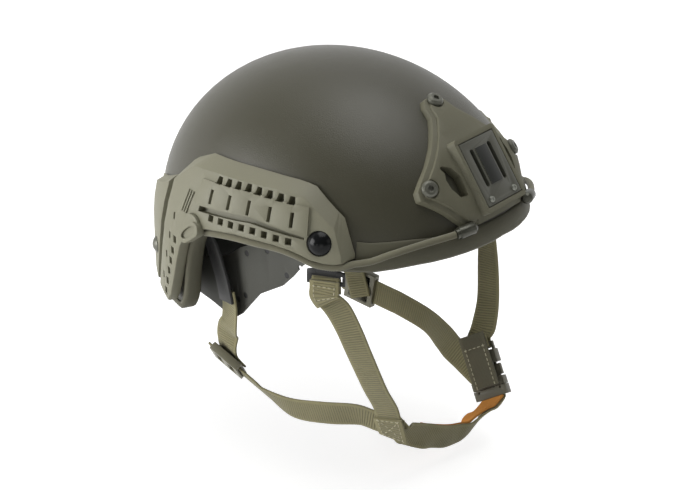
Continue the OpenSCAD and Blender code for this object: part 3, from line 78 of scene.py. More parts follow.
# Routes of the webbing: width, thickness, then stations of place and width direction, in millimetres.
# A station with no direction has the last one's. True keeps the directions slanted to the run.
STRAP_ROUTES = {
    "front_strap_right": (19, 1.5, [
        (-86, -57, -9, 0.375, -0.927, 0), (-86, -57, -3), (-86, -57, 1.5), (-88.9, -58.4, 3.6),
        (-91, -59.5, 1.6), (-91, -59.5, -3), (-91, -59.5, -9), (-84.5, -65, -20, 0.3, -0.825, 0.478),
        (-80, -70.6, -35, 0.272, -0.89, 0.365), (-76, -74.8, -50.2, 0.247, -0.923, 0.295),
        (-70.6, -78.2, -66.7, 0.209, -0.945, 0.252), (-64.2, -81.2, -84, 0.167, -0.954, 0.25),
        (-57.7, -84.2, -98.4, 0.193, -0.953, 0.232), (-54.8, -85.1, -107.9, 0.217, -0.964, 0.153),
        (-51.2, -86.3, -120.4),
    ]),
    "front_strap_left": (19, 1.5, [
        (86, -57, -9, 0.375, 0.927, 0), (86, -57, -3), (86, -57, 1.5), (88.9, -58.4, 3.6),
        (91, -59.5, 1.6), (91, -59.5, -3), (91, -59.5, -9), (86, -64.5, -22, 0.302, 0.93, -0.21),
        (85.5, -67, -50, 0.069, 0.991, -0.112), (82, -70.4, -76.6, -0.034, 0.985, -0.168),
        (71, -74.8, -92.6, -0.219, 0.975, -0.042), (65.3, -75.1, -98.3, -0.37, 0.806, -0.463),
        (62.5, -77.1, -102.9), (61.2, -79.3, -105.7), (58.8, -80.2, -105.3), (56.6, -80.3, -103.7),
        (57.1, -78.3, -100.5), (58.3, -75.2, -96.2),
    ]),
    "drop_strap_right": (19, 1.5, [
        (-82.9, 35.7, -37, -0.304, -0.949, 0.082), (-82.2, 34.4, -49, -0.303, -0.947, -0.107),
        (-79.5, 38, -67, -0.24, -0.897, -0.371), (-74.9, 43.6, -75.8, 0.072, -0.938, -0.34),
        (-74.4, 45.3, -86.1, -0.09, -0.985, -0.149), (-71.8, 46.2, -94.9, -0.148, -0.986, -0.077),
        (-64, 45.3, -105.8, -0.173, -0.984, -0.045),
    ]),
    "drop_strap_left": (19, 1.5, [
        (82.9, 35.7, -37, -0.304, 0.949, -0.082), (82.2, 34.4, -49, -0.303, 0.946, 0.113),
        (80.4, 38, -63, -0.222, 0.891, 0.395), (69.2, 40.7, -70.5, 0.022, 0.977, 0.211),
        (63.3, 41.5, -77.4, -0.009, 0.997, -0.083), (64.3, 39.4, -86.3, -0.034, 0.945, -0.326),
        (62.9, 33.7, -99.9, -0.04, 0.924, -0.38),
    ]),
    "rear_strap_right": (19, 1.5, [
        (-73.3, 62.3, -94.8, -0.626, -0.376, 0.683), (-72, 47, -102), (-69.9, 22.7, -113.5),
        (-69.1, 13.7, -117.8, -0.637, -0.21, 0.742), (-68.6, -10, -121.6, -0.292, -0.052, 0.955),
        (-64.6, -38, -117.2, -0.224, 0.116, 0.968), (-58.1, -61.1, -113, -0.255, -0.022, 0.967),
        (-53.9, -74.3, -115.2, -0.199, -0.22, 0.955), (-47.9, -93.1, -118.3),
    ]),
    "rear_strap_left": (19, 1.5, [
        (68, 53.9, -91.3, -0.104, 0.102, -0.989), (68, 37, -93), (68, 10.1, -95.8),
        (68, 0.2, -96.8, -0.103, 0.157, -0.982), (67, -26.4, -101.5, -0.133, 0.136, -0.982),
        (53.8, -52.2, -102.3, -0.436, 0.293, -0.851), (49.1, -62.7, -104.8, -0.438, 0.394, -0.808),
        (48.5, -72.3, -109.2, -0.438, 0.412, -0.799), (48.2, -81.4, -114, -0.437, 0.429, -0.791),
        (48, -89.5, -118.3, -0.437, 0.426, -0.792),
    ]),
    "chin_strap": (19.0, 1.5, [
        (-51, -80.4, -110.5, 0.042, -0.782, 0.622), (-48.1, -85, -116.5),
        (-45.5, -88.9, -121.6, 0.056, -0.804, 0.592), (-42.8, -90, -123.8, 0.381, -0.437, 0.815),
        (-38, -91, -126.2, 0.395, -0.346, 0.851), (-30.5, -92.2, -130.4, 0.437, -0.212, 0.874),
        (-22, -93.5, -134.8, 0.422, -0.073, 0.904), (-11.9, -94.8, -139.3, 0.353, -0.283, 0.892),
        (0.2, -96.1, -144.4, 0.29, -0.259, 0.921), (11.3, -96.9, -147.2, 0.126, -0.34, 0.932),
        (17.4, -98.5, -147.6, -0.165, -0.404, 0.9), (22.3, -99.6, -146.4, -0.348, -0.46, 0.817),
        (27.3, -100.3, -144.4, -0.375, -0.523, 0.765), (32.4, -101, -142.4, -0.359, -0.595, 0.719),
        (37.5, -101.5, -140.3, -0.264, -0.71, 0.653), (43.6, -101.3, -138.2, -0.225, -0.876, 0.428),
        (48.8, -101.4, -134.2, 0.37, -0.806, 0.463), (49.3, -100.2, -132.5), (49.7, -99.2, -131.1),
    ], True),
    "chin_pad": (17.5, 1.8, [
        (-30, -90, -130.1, 0.437, -0.212, 0.874), (-21.7, -91.3, -134.8, 0.422, -0.073, 0.904),
        (-11.4, -92.7, -138.8, 0.353, -0.283, 0.892), (0.6, -93.9, -143.9, 0.29, -0.259, 0.921),
        (11.7, -94.8, -146.5, 0.126, -0.34, 0.932), (17.8, -96.5, -146.6, -0.165, -0.404, 0.9),
        (21.5, -97, -145.2, -0.253, -0.539, 0.804), (24.2, -96.7, -142.6, -0.044, -0.718, 0.694),
        (27.2, -97.4, -139.7, 0.2, -0.803, 0.562), (31.4, -99.1, -137.1, 0.37, -0.806, 0.463),
        (37.5, -100.8, -136.8), (47.2, -101.3, -132.7),
    ], True),
    "join_patch": (21.54, 1.5, [
        (-56.5, -85.6, -108.4, 0.217, -0.964, 0.153), (-54, -86.4, -117, 0.268, -0.963, -0.037),
        (-51.4, -87.2, -125.6, 0.307, -0.928, -0.213),
    ], True),
    "side_tab": (20, 1.5, [
        (54.4, -75, -92.6, -0.37, 0.806, -0.463), (49.7, -86.2, -108.5), (45.2, -96.9, -123.5),
    ]),
}
BUNGEE_ROUTE = [
    (-112, 27.2, 19), (-112.8, 23.4, 20.2), (-113.6, 17.4, 21.6), (-114, 9.3, 23), (-114, 0, 24.2),
    (-113.6, -9.9, 24.8), (-112.7, -19.8, 25), (-111.5, -28.6, 25.3), (-110, -36.8, 25.1),
    (-108.4, -44.3, 24), (-106.7, -51.2, 22.4), (-105.1, -57.1, 20.5), (-103.2, -62.9, 19),
    (-100.4, -69.7, 18.7), (-97.4, -76, 19.2), (-95, -80.3, 20.5), (-92.5, -84, 22.1),
    (-89.3, -88.6, 23.2), (-85.7, -93.2, 24.4), (-82.2, -97.3, 26.3), (-78.3, -101.4, 28.4),
    (-73.8, -105.9, 30.4), (-68.9, -110.3, 32.3), (-63.9, -114.4, 33.9), (-59, -118.1, 35.2),
    (-54.7, -121.2, 36.2), (-50.6, -124, 37.1), (-46.2, -126.8, 37.9), (-42.8, -128.8, 38.6),
]


def length_prop(label, words, metres):
    """A length property."""
    return bpy.props.FloatProperty(name=label, description=words, default=metres, unit="LENGTH")


class HelmetSizes(bpy.types.PropertyGroup):
    """Sizes of the modelled detail"""

    half_width: length_prop("Half width", "Half the shell's width outside", 0.111)
    half_length: length_prop("Half length", "Half the shell's length outside", 0.140)
    crown_height: length_prop("Crown height", "Crown above the widest section", 0.120)
    wall: length_prop("Wall", "Thickness of the shell's wall", 0.008)
    web_rib: length_prop("Webbing rib", "Distance between two cross ribs of the webbing", 0.0019)
    stitch_length: length_prop("Stitch length", "Length of one stitch", 0.0026)
    stitch_gap: length_prop("Stitch pitch", "Distance from one stitch to the next", 0.0034)
    pad_swell: length_prop("Pad swell", "How far the pads' cloth may swell", 0.003)


def colour_prop(label, words, rgb):
    """A colour property given in display values of 0 to 255."""
    return bpy.props.FloatVectorProperty(
        name=label, description=words, subtype="COLOR", size=3, min=0.0, max=1.0,
        default=tuple(to_linear(c / 255) for c in rgb))


def to_linear(c):
    """A display value as a linear one."""
    return c / 12.92 if c <= 0.04045 else ((c + 0.055) / 1.055) ** 2.4


class HelmetColours(bpy.types.PropertyGroup):
    """Colours of the finishes"""

    shell_coat: colour_prop("Shell coat", "Gritty coating of the shell", (56, 54, 38))
    rail_plastic: colour_prop("Rail plastic", "Moulded plastic of the rails", (119, 117, 98))
    shroud_plastic: colour_prop("Shroud plastic", "Moulded plastic of the front shroud", (100, 98, 80))
    plate_coat: colour_prop("Plate coat", "Hard coat of the shroud plate", (84, 84, 74))
    trim_rubber: colour_prop("Trim rubber", "Rubber of the edge trim", (82, 80, 64))
    webbing: colour_prop("Webbing", "Webbing yarn", (136, 131, 99))
    # Painted shade: the darker colour put in the grooves between the webbing's ribs
    webbing_groove_shade: colour_prop("Webbing grooves", "Shade between the webbing's ribs", (84, 80, 57))
    panel_cloth: colour_prop("Panel cloth", "Cloth of the sewn panels", (96, 93, 76))
    stitch_thread: colour_prop("Stitch thread", "Light sewing thread", (196, 190, 164))
    black_plastic: colour_prop("Black plastic", "Hangers, fit band and dial", (30, 30, 29))
    band_plastic: colour_prop("Fit band plastic", "Grey wings of the fit band", (72, 72, 66))
    buckle_plastic: colour_prop("Buckle plastic", "Olive brown buckles", (98, 95, 80))
    glide_plastic: colour_prop("Adjuster plastic", "Olive grey rear adjusters", (124, 121, 102))
    cord_sleeve: colour_prop("Cord sleeve", "Woven sleeve of the bungees", (105, 103, 86))
    pad_cloth: colour_prop("Pad cloth", "Brushed cloth over the pads", (38, 39, 36))
    suede: colour_prop("Suede", "Chin pad's suede", (205, 140, 72))
    black_bolt: colour_prop("Rail bolt", "Glossy black bolt heads", (14, 15, 16))
    olive_bolt: colour_prop("Shroud bolt", "Coated bolt heads", (96, 96, 86))
    plate_middle: colour_prop("Plate middle", "Dark raised middle of the shroud plate", (34, 35, 31))
    screw_steel: colour_prop("Plate screws", "Bright steel of the plate's screws", (150, 152, 142))
    clip_coat: colour_prop("Clip coat", "Coated barrel clips of the bungees", (70, 70, 60))


# ---- shader groups ----

def new_group(kind, name, inputs, outputs):
    """An empty node group with named sockets: its tree, input node and output node."""
    tree = bpy.data.node_groups.new(name, kind)
    for label, sort, value in inputs:
        socket = tree.interface.new_socket(name=label, in_out="INPUT", socket_type="NodeSocket" + sort)
        if value is not None:
            socket.default_value = value
    for label, sort in outputs:
        tree.interface.new_socket(name=label, in_out="OUTPUT", socket_type="NodeSocket" + sort)
    return tree, tree.nodes.new("NodeGroupInput"), tree.nodes.new("NodeGroupOutput")


def set_inputs(tree, node, values):
    """Links or sets a node's inputs by name or number. None leaves an input as it is."""
    for key, value in values.items():
        if isinstance(value, bpy.types.NodeSocket):
            tree.links.new(value, node.inputs[key])
        elif value is not None:
            node.inputs[key].default_value = value


def new_node(tree, kind, values=(), **settings):
    """A node with its settings made, then its inputs."""
    node = tree.nodes.new(kind)
    for key, value in settings.items():
        setattr(node, key, value)
    set_inputs(tree, node, dict(values))
    return node


def maths(tree, operation, a, b=None, clamp=False):
    """A Math node; a and b are sockets or numbers. Returns its output."""
    return new_node(tree, "ShaderNodeMath", {0: a, 1: b}, operation=operation, use_clamp=clamp).outputs[0]


def blend_colour(tree, factor, a, b, mode="MIX"):
    """A colour Mix node; factor, a and b are sockets or values. Returns its output."""
    a, b = (c if isinstance(c, bpy.types.NodeSocket) else (*c[:3], 1.0) for c in (a, b))
    values = {0: factor, 6: a, 7: b}
    return new_node(tree, "ShaderNodeMix", values, data_type="RGBA", blend_type=mode).outputs[2]


def noise(tree, vector, scale, detail=3.0, rough=0.55):
    """A Noise Texture on a vector. Returns its factor."""
    values = {"Vector": vector, "Scale": scale, "Detail": detail, "Roughness": rough}
    return new_node(tree, "ShaderNodeTexNoise", values).outputs[0]


def make_grain_group():
    """Gritty or moulded surface: a fine grain for the bump and broad patches for the colour."""
    tree, given, out = new_group(
        "ShaderNodeTree", "surface_grain",
        [("Vector", "Vector", None), ("Grain Scale", "Float", 900.0), ("Patch Scale", "Float", 14.0)],
        [("Height", "Float"), ("Patches", "Float"), ("Specks", "Float")])
    grain, patch = (noise(tree, given.outputs["Vector"], given.outputs[scale], 4.0, 0.6)
                    for scale in ("Grain Scale", "Patch Scale"))
    speck = maths(tree, "MULTIPLY", maths(tree, "SUBTRACT", grain, 0.56), 6.0, clamp=True)
    set_inputs(tree, out, {"Height": grain, "Patches": patch, "Specks": speck})


def make_weave_group():
    """Webbing on a UV map in metres: cross ribs, lengthwise picks, firm edges and a mask for painted shade in
    the grooves.
    """
    tree, given, out = new_group(
        "ShaderNodeTree", "webbing_weave",
        [("UV", "Vector", None), ("Rib Pitch", "Float", 0.0013), ("Yarn Pitch", "Float", 0.0009),
         ("Plain From", "Float", 0.0072)],
        [("Height", "Float"), ("Groove Shade", "Float"), ("Fuzz", "Float")])
    parts = new_node(tree, "ShaderNodeSeparateXYZ", {0: given.outputs["UV"]})
    along, across = parts.outputs[0], parts.outputs[1]
    ridges = []
    for place, pitch in ((along, "Rib Pitch"), (across, "Yarn Pitch")):
        turn = maths(tree, "MULTIPLY", maths(tree, "DIVIDE", place, given.outputs[pitch]), math.pi)
        ridges.append(maths(tree, "ABSOLUTE", maths(tree, "SINE", turn)))
    rib, yarn = ridges
    # The firm edges lie past the plain distance from the middle
    off_mid = maths(tree, "ABSOLUTE", maths(tree, "SUBTRACT", across, WEB_MIDDLE))
    past = maths(tree, "SUBTRACT", off_mid, given.outputs["Plain From"])
    plain = maths(tree, "MULTIPLY", past, 1500.0, clamp=True)
    ribbed = maths(tree, "SUBTRACT", 1.0, plain)
    fuzz = noise(tree, given.outputs["UV"], 2600.0, 2.0)
    height = maths(tree, "ADD", maths(tree, "MULTIPLY", maths(tree, "POWER", rib, 0.6), ribbed),
                   maths(tree, "ADD", maths(tree, "MULTIPLY", yarn, 0.15), plain))
    # Painted shade: the mask is strongest in the grooves between the ribs and is none on the firm edges
    shade_in_grooves = maths(tree, "SUBTRACT", 1.0, maths(tree, "POWER", rib, 0.7), clamp=True)
    set_inputs(tree, out, {
        "Height": maths(tree, "ADD", height, maths(tree, "MULTIPLY", fuzz, 0.25)),
        "Groove Shade": maths(tree, "MULTIPLY", shade_in_grooves, ribbed), "Fuzz": fuzz})


def start_finish(name):
    """A new material: the material, its tree and its Principled BSDF."""
    mat = bpy.data.materials.new(name)
    mat.use_nodes = True
    tree = mat.node_tree
    return mat, tree, tree.nodes["Principled BSDF"]


def add_bump(tree, shader, height, distance):
    """Feeds a height into the shader's normal."""
    bump = new_node(tree, "ShaderNodeBump", {"Strength": 1.0, "Distance": distance, "Height": height})
    tree.links.new(bump.outputs[0], shader.inputs["Normal"])


def grain_finish(name, colour, rough, grain, depth, speck, patch, level, metal=0.0, patch_scale=14.0,
                 sheen=0.0):
    """A coated or moulded finish with grain, specks and patches on Object coordinates."""
    mat, tree, shader = start_finish(name)
    coords = tree.nodes.new("ShaderNodeTexCoord")
    values = {"Grain Scale": grain, "Patch Scale": patch_scale, "Vector": coords.outputs["Object"]}
    group = new_node(tree, "ShaderNodeGroup", values, node_tree=bpy.data.node_groups["surface_grain"])
    light = [min(1.0, c * (1 + patch) + 0.004) for c in colour]
    dark = [c * (1 - patch) for c in colour]
    base = blend_colour(tree, group.outputs["Patches"], dark, light)
    base = blend_colour(tree, maths(tree, "MULTIPLY", group.outputs["Specks"], speck), base,
                        [min(1.0, c * 1.5 + 0.01) for c in colour])
    spread = maths(tree, "MULTIPLY", maths(tree, "SUBTRACT", group.outputs["Patches"], 0.5), 0.25)
    set_inputs(tree, shader, {
        "Base Color": base, "Roughness": maths(tree, "ADD", spread, rough, clamp=True), "Metallic": metal,
        "Specular IOR Level": level, "Sheen Weight": sheen, "Sheen Roughness": 0.4})
    add_bump(tree, shader, group.outputs["Height"], depth)
    return mat


def weave_finish(name, yarn, groove_shade_colour, rib, yarn_pitch=0.0009, depth=0.00035):
    """Woven webbing on the piece's own UV map, with painted shade in the grooves between the ribs."""
    mat, tree, shader = start_finish(name)
    coords = new_node(tree, "ShaderNodeUVMap", uv_map="web")
    values = {"Rib Pitch": rib, "Yarn Pitch": yarn_pitch, "UV": coords.outputs[0]}
    group = new_node(tree, "ShaderNodeGroup", values, node_tree=bpy.data.node_groups["webbing_weave"])
    place = tree.nodes.new("ShaderNodeTexCoord")
    broad = noise(tree, place.outputs["Object"], 45.0)
    # Painted shade: the grooves take the darker groove colour
    base = blend_colour(tree, group.outputs["Groove Shade"], yarn, groove_shade_colour)
    base = blend_colour(tree, maths(tree, "MULTIPLY", group.outputs["Fuzz"], 0.35), base,
                        [min(1.0, c * 1.7 + 0.02) for c in yarn])
    shade = blend_colour(tree, broad, (0.78, 0.78, 0.78), (1.12, 1.1, 1.06))
    set_inputs(tree, shader, {
        "Base Color": blend_colour(tree, 1.0, base, shade, "MULTIPLY"), "Roughness": 0.85,
        "Specular IOR Level": 0.2, "Sheen Weight": 0.25, "Sheen Roughness": 0.5})
    add_bump(tree, shader, group.outputs["Height"], depth)
    return mat


# Grained finishes: material, colour, then what grain_finish takes from the roughness on
GRAINED = {
    "shell": ("shell_coat", "shell_coat", 0.44, 1100, 0.00015, 0.3, 0.08, 0.5, 0.0, 14.0, 0.16),
    "trim": ("trim_rubber", "trim_rubber", 0.62, 700, 0.00006, 0.1, 0.08, 0.35),
    "rail": ("rail_plastic", "rail_plastic", 0.55, 500, 0.00005, 0.1, 0.07, 0.4),
    "shroud": ("shroud_plastic", "shroud_plastic", 0.6, 600, 0.00006, 0.12, 0.08, 0.38),
    "plate": ("plate_coat", "plate_coat", 0.42, 900, 0.00003, 0.15, 0.12, 0.5),
    "olive_bolt": ("olive_bolt", "olive_bolt", 0.38, 900, 0.00003, 0.2, 0.1, 0.5, 0.35),
    "clip": ("clip_coat", "clip_coat", 0.35, 900, 0.00003, 0.2, 0.1, 0.5, 0.4),
    "black_bolt": ("black_bolt", "black_bolt", 0.2, 500, 0.00001, 0.02, 0.1, 0.16, 0.0, 20),
    "plate_middle": ("plate_middle", "plate_middle", 0.4, 900, 0.00003, 0.15, 0.12, 0.4),
    "screw": ("screw_steel", "screw_steel", 0.35, 900, 0.00003, 0.1, 0.1, 0.5, 0.6),
    "glide": ("glide_plastic", "glide_plastic", 0.42, 700, 0.00004, 0.1, 0.08, 0.45),
    "steel": ("blacked_steel", "black_bolt", 0.4, 900, 0.00003, 0.2, 0.2, 0.5, 0.6),
    "black": ("black_plastic", "black_plastic", 0.5, 700, 0.00005, 0.1, 0.1, 0.4),
    "band": ("band_plastic", "band_plastic", 0.62, 700, 0.00005, 0.12, 0.1, 0.3),
    "buckle": ("buckle_plastic", "buckle_plastic", 0.5, 700, 0.00004, 0.1, 0.08, 0.4),
    "suede": ("chin_suede", "suede", 0.95, 1400, 0.0003, 0.3, 0.14, 0.1, 0.0, 90),
    "pad": ("pad_cloth", "pad_cloth", 0.97, 1700, 0.0004, 0.5, 0.15, 0.1, 0.0, 60),
    "thread": ("stitch_thread", "stitch_thread", 0.8, 2400, 0.0001, 0.2, 0.1, 0.2),
}


def make_finishes():
    """Every finish of the helmet, by name."""
    c = bpy.context.scene.helmet_colours
    rib = bpy.context.scene.helmet_sizes.web_rib
    make_grain_group()
    make_weave_group()
    made = {}
    for key, (name, colour, *rest) in GRAINED.items():
        made[key] = grain_finish(name, getattr(c, colour), *rest)
    made["web"] = weave_finish("webbing_weave", c.webbing, c.webbing_groove_shade, rib)
    # The panel cloth and the cord sleeve get painted shade in their grooves: their own colour at about half
    made["panel"] = weave_finish(
        "panel_weave", c.panel_cloth, [q * 0.55 for q in c.panel_cloth], 0.0008, 0.0008, 0.0002)
    made["cord"] = weave_finish(
        "cord_sleeve", c.cord_sleeve, [q * 0.5 for q in c.cord_sleeve], 0.0012, 0.0012, 0.0002)
    return made


FINISH = {}


# ---- making pieces ----

def placed(name, data):
    """A new object in the scene."""
    item = bpy.data.objects.new(name, data)
    bpy.context.collection.objects.link(item)
    return item


def add_piece(name, mesh, body, finish, slot, *nodes):
    """Puts a mesh in the scene as a piece of a body, in place of CAD nodes."""
    piece = placed(name, mesh)
    mesh.materials.clear()
    mesh.materials.append(FINISH[finish])
    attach(piece, body)
    if nodes:
        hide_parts(*nodes)
    return piece


def mesh_of(work, name):
    """The working mesh as a new mesh."""
    mesh = bpy.data.meshes.new(name)
    work.to_mesh(mesh)
    work.free()
    return mesh


def plain_mesh(piece):
    """The piece's evaluated mesh as a new mesh, its modifiers applied."""
    graph = bpy.context.evaluated_depsgraph_get()
    return bpy.data.meshes.new_from_object(piece.evaluated_get(graph), depsgraph=graph)


def apply_modifiers(piece):
    """Makes the piece's modifiers part of its mesh."""
    mesh = plain_mesh(piece)
    piece.modifiers.clear()
    piece.data = mesh


def merged_copy(node, flat=0.5):
    """A welded copy of a CAD node's mesh with its flat faces made whole."""
    mesh = NODES[node].data.copy()
    work = bmesh.new()
    work.from_mesh(mesh)
    bmesh.ops.remove_doubles(work, verts=work.verts, dist=2e-6)
    bmesh.ops.dissolve_limit(
        work, angle_limit=math.radians(flat), verts=work.verts, edges=work.edges, delimit={"NORMAL"})
    work.to_mesh(mesh)
    work.free()
    return mesh


def shade_by_angle(mesh, angle):
    """Smooth shading with sharp edges above an angle in degrees."""
    mesh.shade_smooth()
    mesh.set_sharp_from_angle(angle=math.radians(angle))


def moulded(node, body, finish, slot, edge=0.4, angle=32, smooth=38):
    """A CAD node's own form with its moulded edges rounded, edge in millimetres."""
    piece = add_piece(node + "_form", merged_copy(node), body, finish, slot, node)
    bevel = piece.modifiers.new("edge", "BEVEL")
    bevel.width = edge * MM
    bevel.segments = 2
    bevel.limit_method = "ANGLE"
    bevel.angle_limit = math.radians(angle)
    bevel.use_clamp_overlap = True
    bevel.miter_outer = "MITER_ARC"
    apply_modifiers(piece)
    shade_by_angle(piece.data, smooth)
    return piece


def curve_point(rows, i, f):
    """A point of the smooth curve through rows of numbers, past row i by the part f."""
    a, b, c = rows[max(i - 1, 0)], rows[i], rows[i + 1]
    d = rows[min(i + 2, len(rows) - 1)]
    chord = math.dist(b[:3], c[:3])
    # A tangent longer than the chord would fold the curve
    start = min(1.0, 2 * chord / max(math.dist(a[:3], c[:3]), 1e-6)) / 2
    end = min(1.0, 2 * chord / max(math.dist(b[:3], d[:3]), 1e-6)) / 2
    return [
        (2 * f ** 3 - 3 * f * f + 1) * q + (f ** 3 - 2 * f * f + f) * (r - p) * start
        + (3 * f * f - 2 * f ** 3) * r + (f ** 3 - f * f) * (t - q) * end
        for p, q, r, t in zip(a, b, c, d)
    ]


def smooth_rows(rows, steps):
    """Places and directions of a route refined by a smooth curve: the places in metres, and the rows."""
    fine = [curve_point(rows, i, k / steps) for i in range(len(rows) - 1) for k in range(steps)]
    fine.append(list(rows[-1]))
    return [Vector(q[:3]) * MM for q in fine], fine


def ahead_at(spots, i):
    """The direction of a line of points at its point i."""
    return (spots[min(i + 1, len(spots) - 1)] - spots[max(i - 1, 0)]).normalized()


def runs_along(spots):
    """How far along a line each of its points lies."""
    runs = [0.0]
    for a, b in zip(spots, spots[1:]):
        runs.append(runs[-1] + (b - a).length)
    return runs


def webbing_frames(route, steps=6):
    """Places, width directions, outward directions and run of a webbing route, in metres."""
    rows, slanted = [], len(route) > 3
    for row in route[2]:
        rows.append(row if len(row) > 3 else (*row, *rows[-1][3:]))
    spots, fine = smooth_rows(rows, steps)
    frames = []
    for i, (spot, q, run) in enumerate(zip(spots, fine, runs_along(spots))):
        ahead, side = ahead_at(spots, i), Vector(q[3:6])
        across = side.normalized() if slanted else (side - ahead * side.dot(ahead)).normalized()
        frames.append((spot, across, ahead.cross(across).normalized(), run))
    return frames


# Where the webbing's UV map has the middle of its width, in metres
WEB_MIDDLE = 0.05
# A webbing's section: across and thickness as parts of half the width and half the thickness
WEB_SECTION = [
    (-1.0, -0.35), (-0.985, -0.8), (-0.93, -1.0), (-0.45, -0.94), (0.0, -0.92), (0.45, -0.94), (0.93, -1.0),
    (0.985, -0.8), (1.0, -0.35), (1.0, 0.35), (0.985, 0.8), (0.93, 1.0), (0.45, 0.94), (0.0, 0.92),
    (-0.45, 0.94), (-0.93, 1.0), (-0.985, 0.8), (-1.0, 0.35),
]


def skinned(name, rings, runs, girths):
    """A closed mesh over rings of points, its UV map in metres along and around them."""
    work = bmesh.new()
    uv = work.loops.layers.uv.new("web")
    rings = [[work.verts.new(spot) for spot in ring] for ring in rings]
    count = len(rings[0])
    for i in range(len(rings) - 1):
        for j in range(count):
            k = (j + 1) % count
            face = work.faces.new((rings[i][j], rings[i][k], rings[i + 1][k], rings[i + 1][j]))
            for loop, (row, col) in zip(face.loops, ((i, j), (i, j + 1), (i + 1, j + 1), (i + 1, j))):
                loop[uv].uv = (runs[row], girths[col])
    for ring in (rings[0], rings[-1]):
        work.faces.new(ring)
    bmesh.ops.recalc_face_normals(work, faces=work.faces)
    mesh = mesh_of(work, name)
    shade_by_angle(mesh, 60)
    return mesh


def strap_mesh(name, route, steps=6):
    """A webbing's mesh with rounded edges and a UV map along and across it."""
    wide, thick = route[0] * MM / 2, route[1] * MM / 2
    frames = webbing_frames(route, steps)
    rings = [[spot + across * (a * wide) + out * (b * thick) for a, b in WEB_SECTION]
             for spot, across, out, _ in frames]
    girths = [a * wide + WEB_MIDDLE for a, _ in (*WEB_SECTION, WEB_SECTION[0])]
    return skinned(name, rings, [frame[3] for frame in frames], girths)


def route_part(strap, start, end, wide, thick, out, count=6):
    """A route along part of a strap, from start to end of its run and out from its middle, in millimetres."""
    frames = webbing_frames(STRAP_ROUTES[strap])
    rows = []
    for k in range(count):
        run = (start + (end - start) * k / (count - 1)) * MM
        spot = web_point(frames, run, 0.0, out * MM) / MM
        side = next((f[1] for f in frames if f[3] >= run), frames[-1][1])
        rows.append((*spot, *side))
    return wide, thick, rows


def cord_mesh(name, rows, radius, sides=20, steps=5):
    """A round cord's mesh along a route in millimetres, with a UV map along and around it."""
    spots, _ = smooth_rows(rows, steps)
    turns = [math.tau * j / sides for j in range(sides)]
    rings = []
    for i, spot in enumerate(spots):
        ahead = ahead_at(spots, i)
        side = ahead.cross(Vector((0, 0, 1))).normalized()
        up = ahead.cross(side)
        rings.append([spot + (side * math.cos(t) + up * math.sin(t)) * radius for t in turns])
    girth = math.tau * radius / sides
    return skinned(name, rings, runs_along(spots), [col * girth for col in range(sides + 1)])


# ---- geometry trees ----

def set_input(modifier, label, value):
    """Sets a tree's named input on a modifier by the socket's identifier."""
    for item in modifier.node_group.interface.items_tree:
        if item.item_type == "SOCKET" and item.in_out == "INPUT" and item.name == label:
            modifier[item.identifier] = value
            return
    raise RuntimeError("no input named " + label)


def run_tree(name, tree, values, base=None):
    """Runs a tree on a mesh and returns the plain mesh it makes."""
    holder = placed(name + "_maker", base or bpy.data.meshes.new(name + "_base"))
    modifier = holder.modifiers.new("tree", "NODES")
    modifier.node_group = tree
    for label, value in values.items():
        set_input(modifier, label, value)
    mesh = plain_mesh(holder)
    mesh.name = name
    bpy.data.objects.remove(holder)
    return mesh


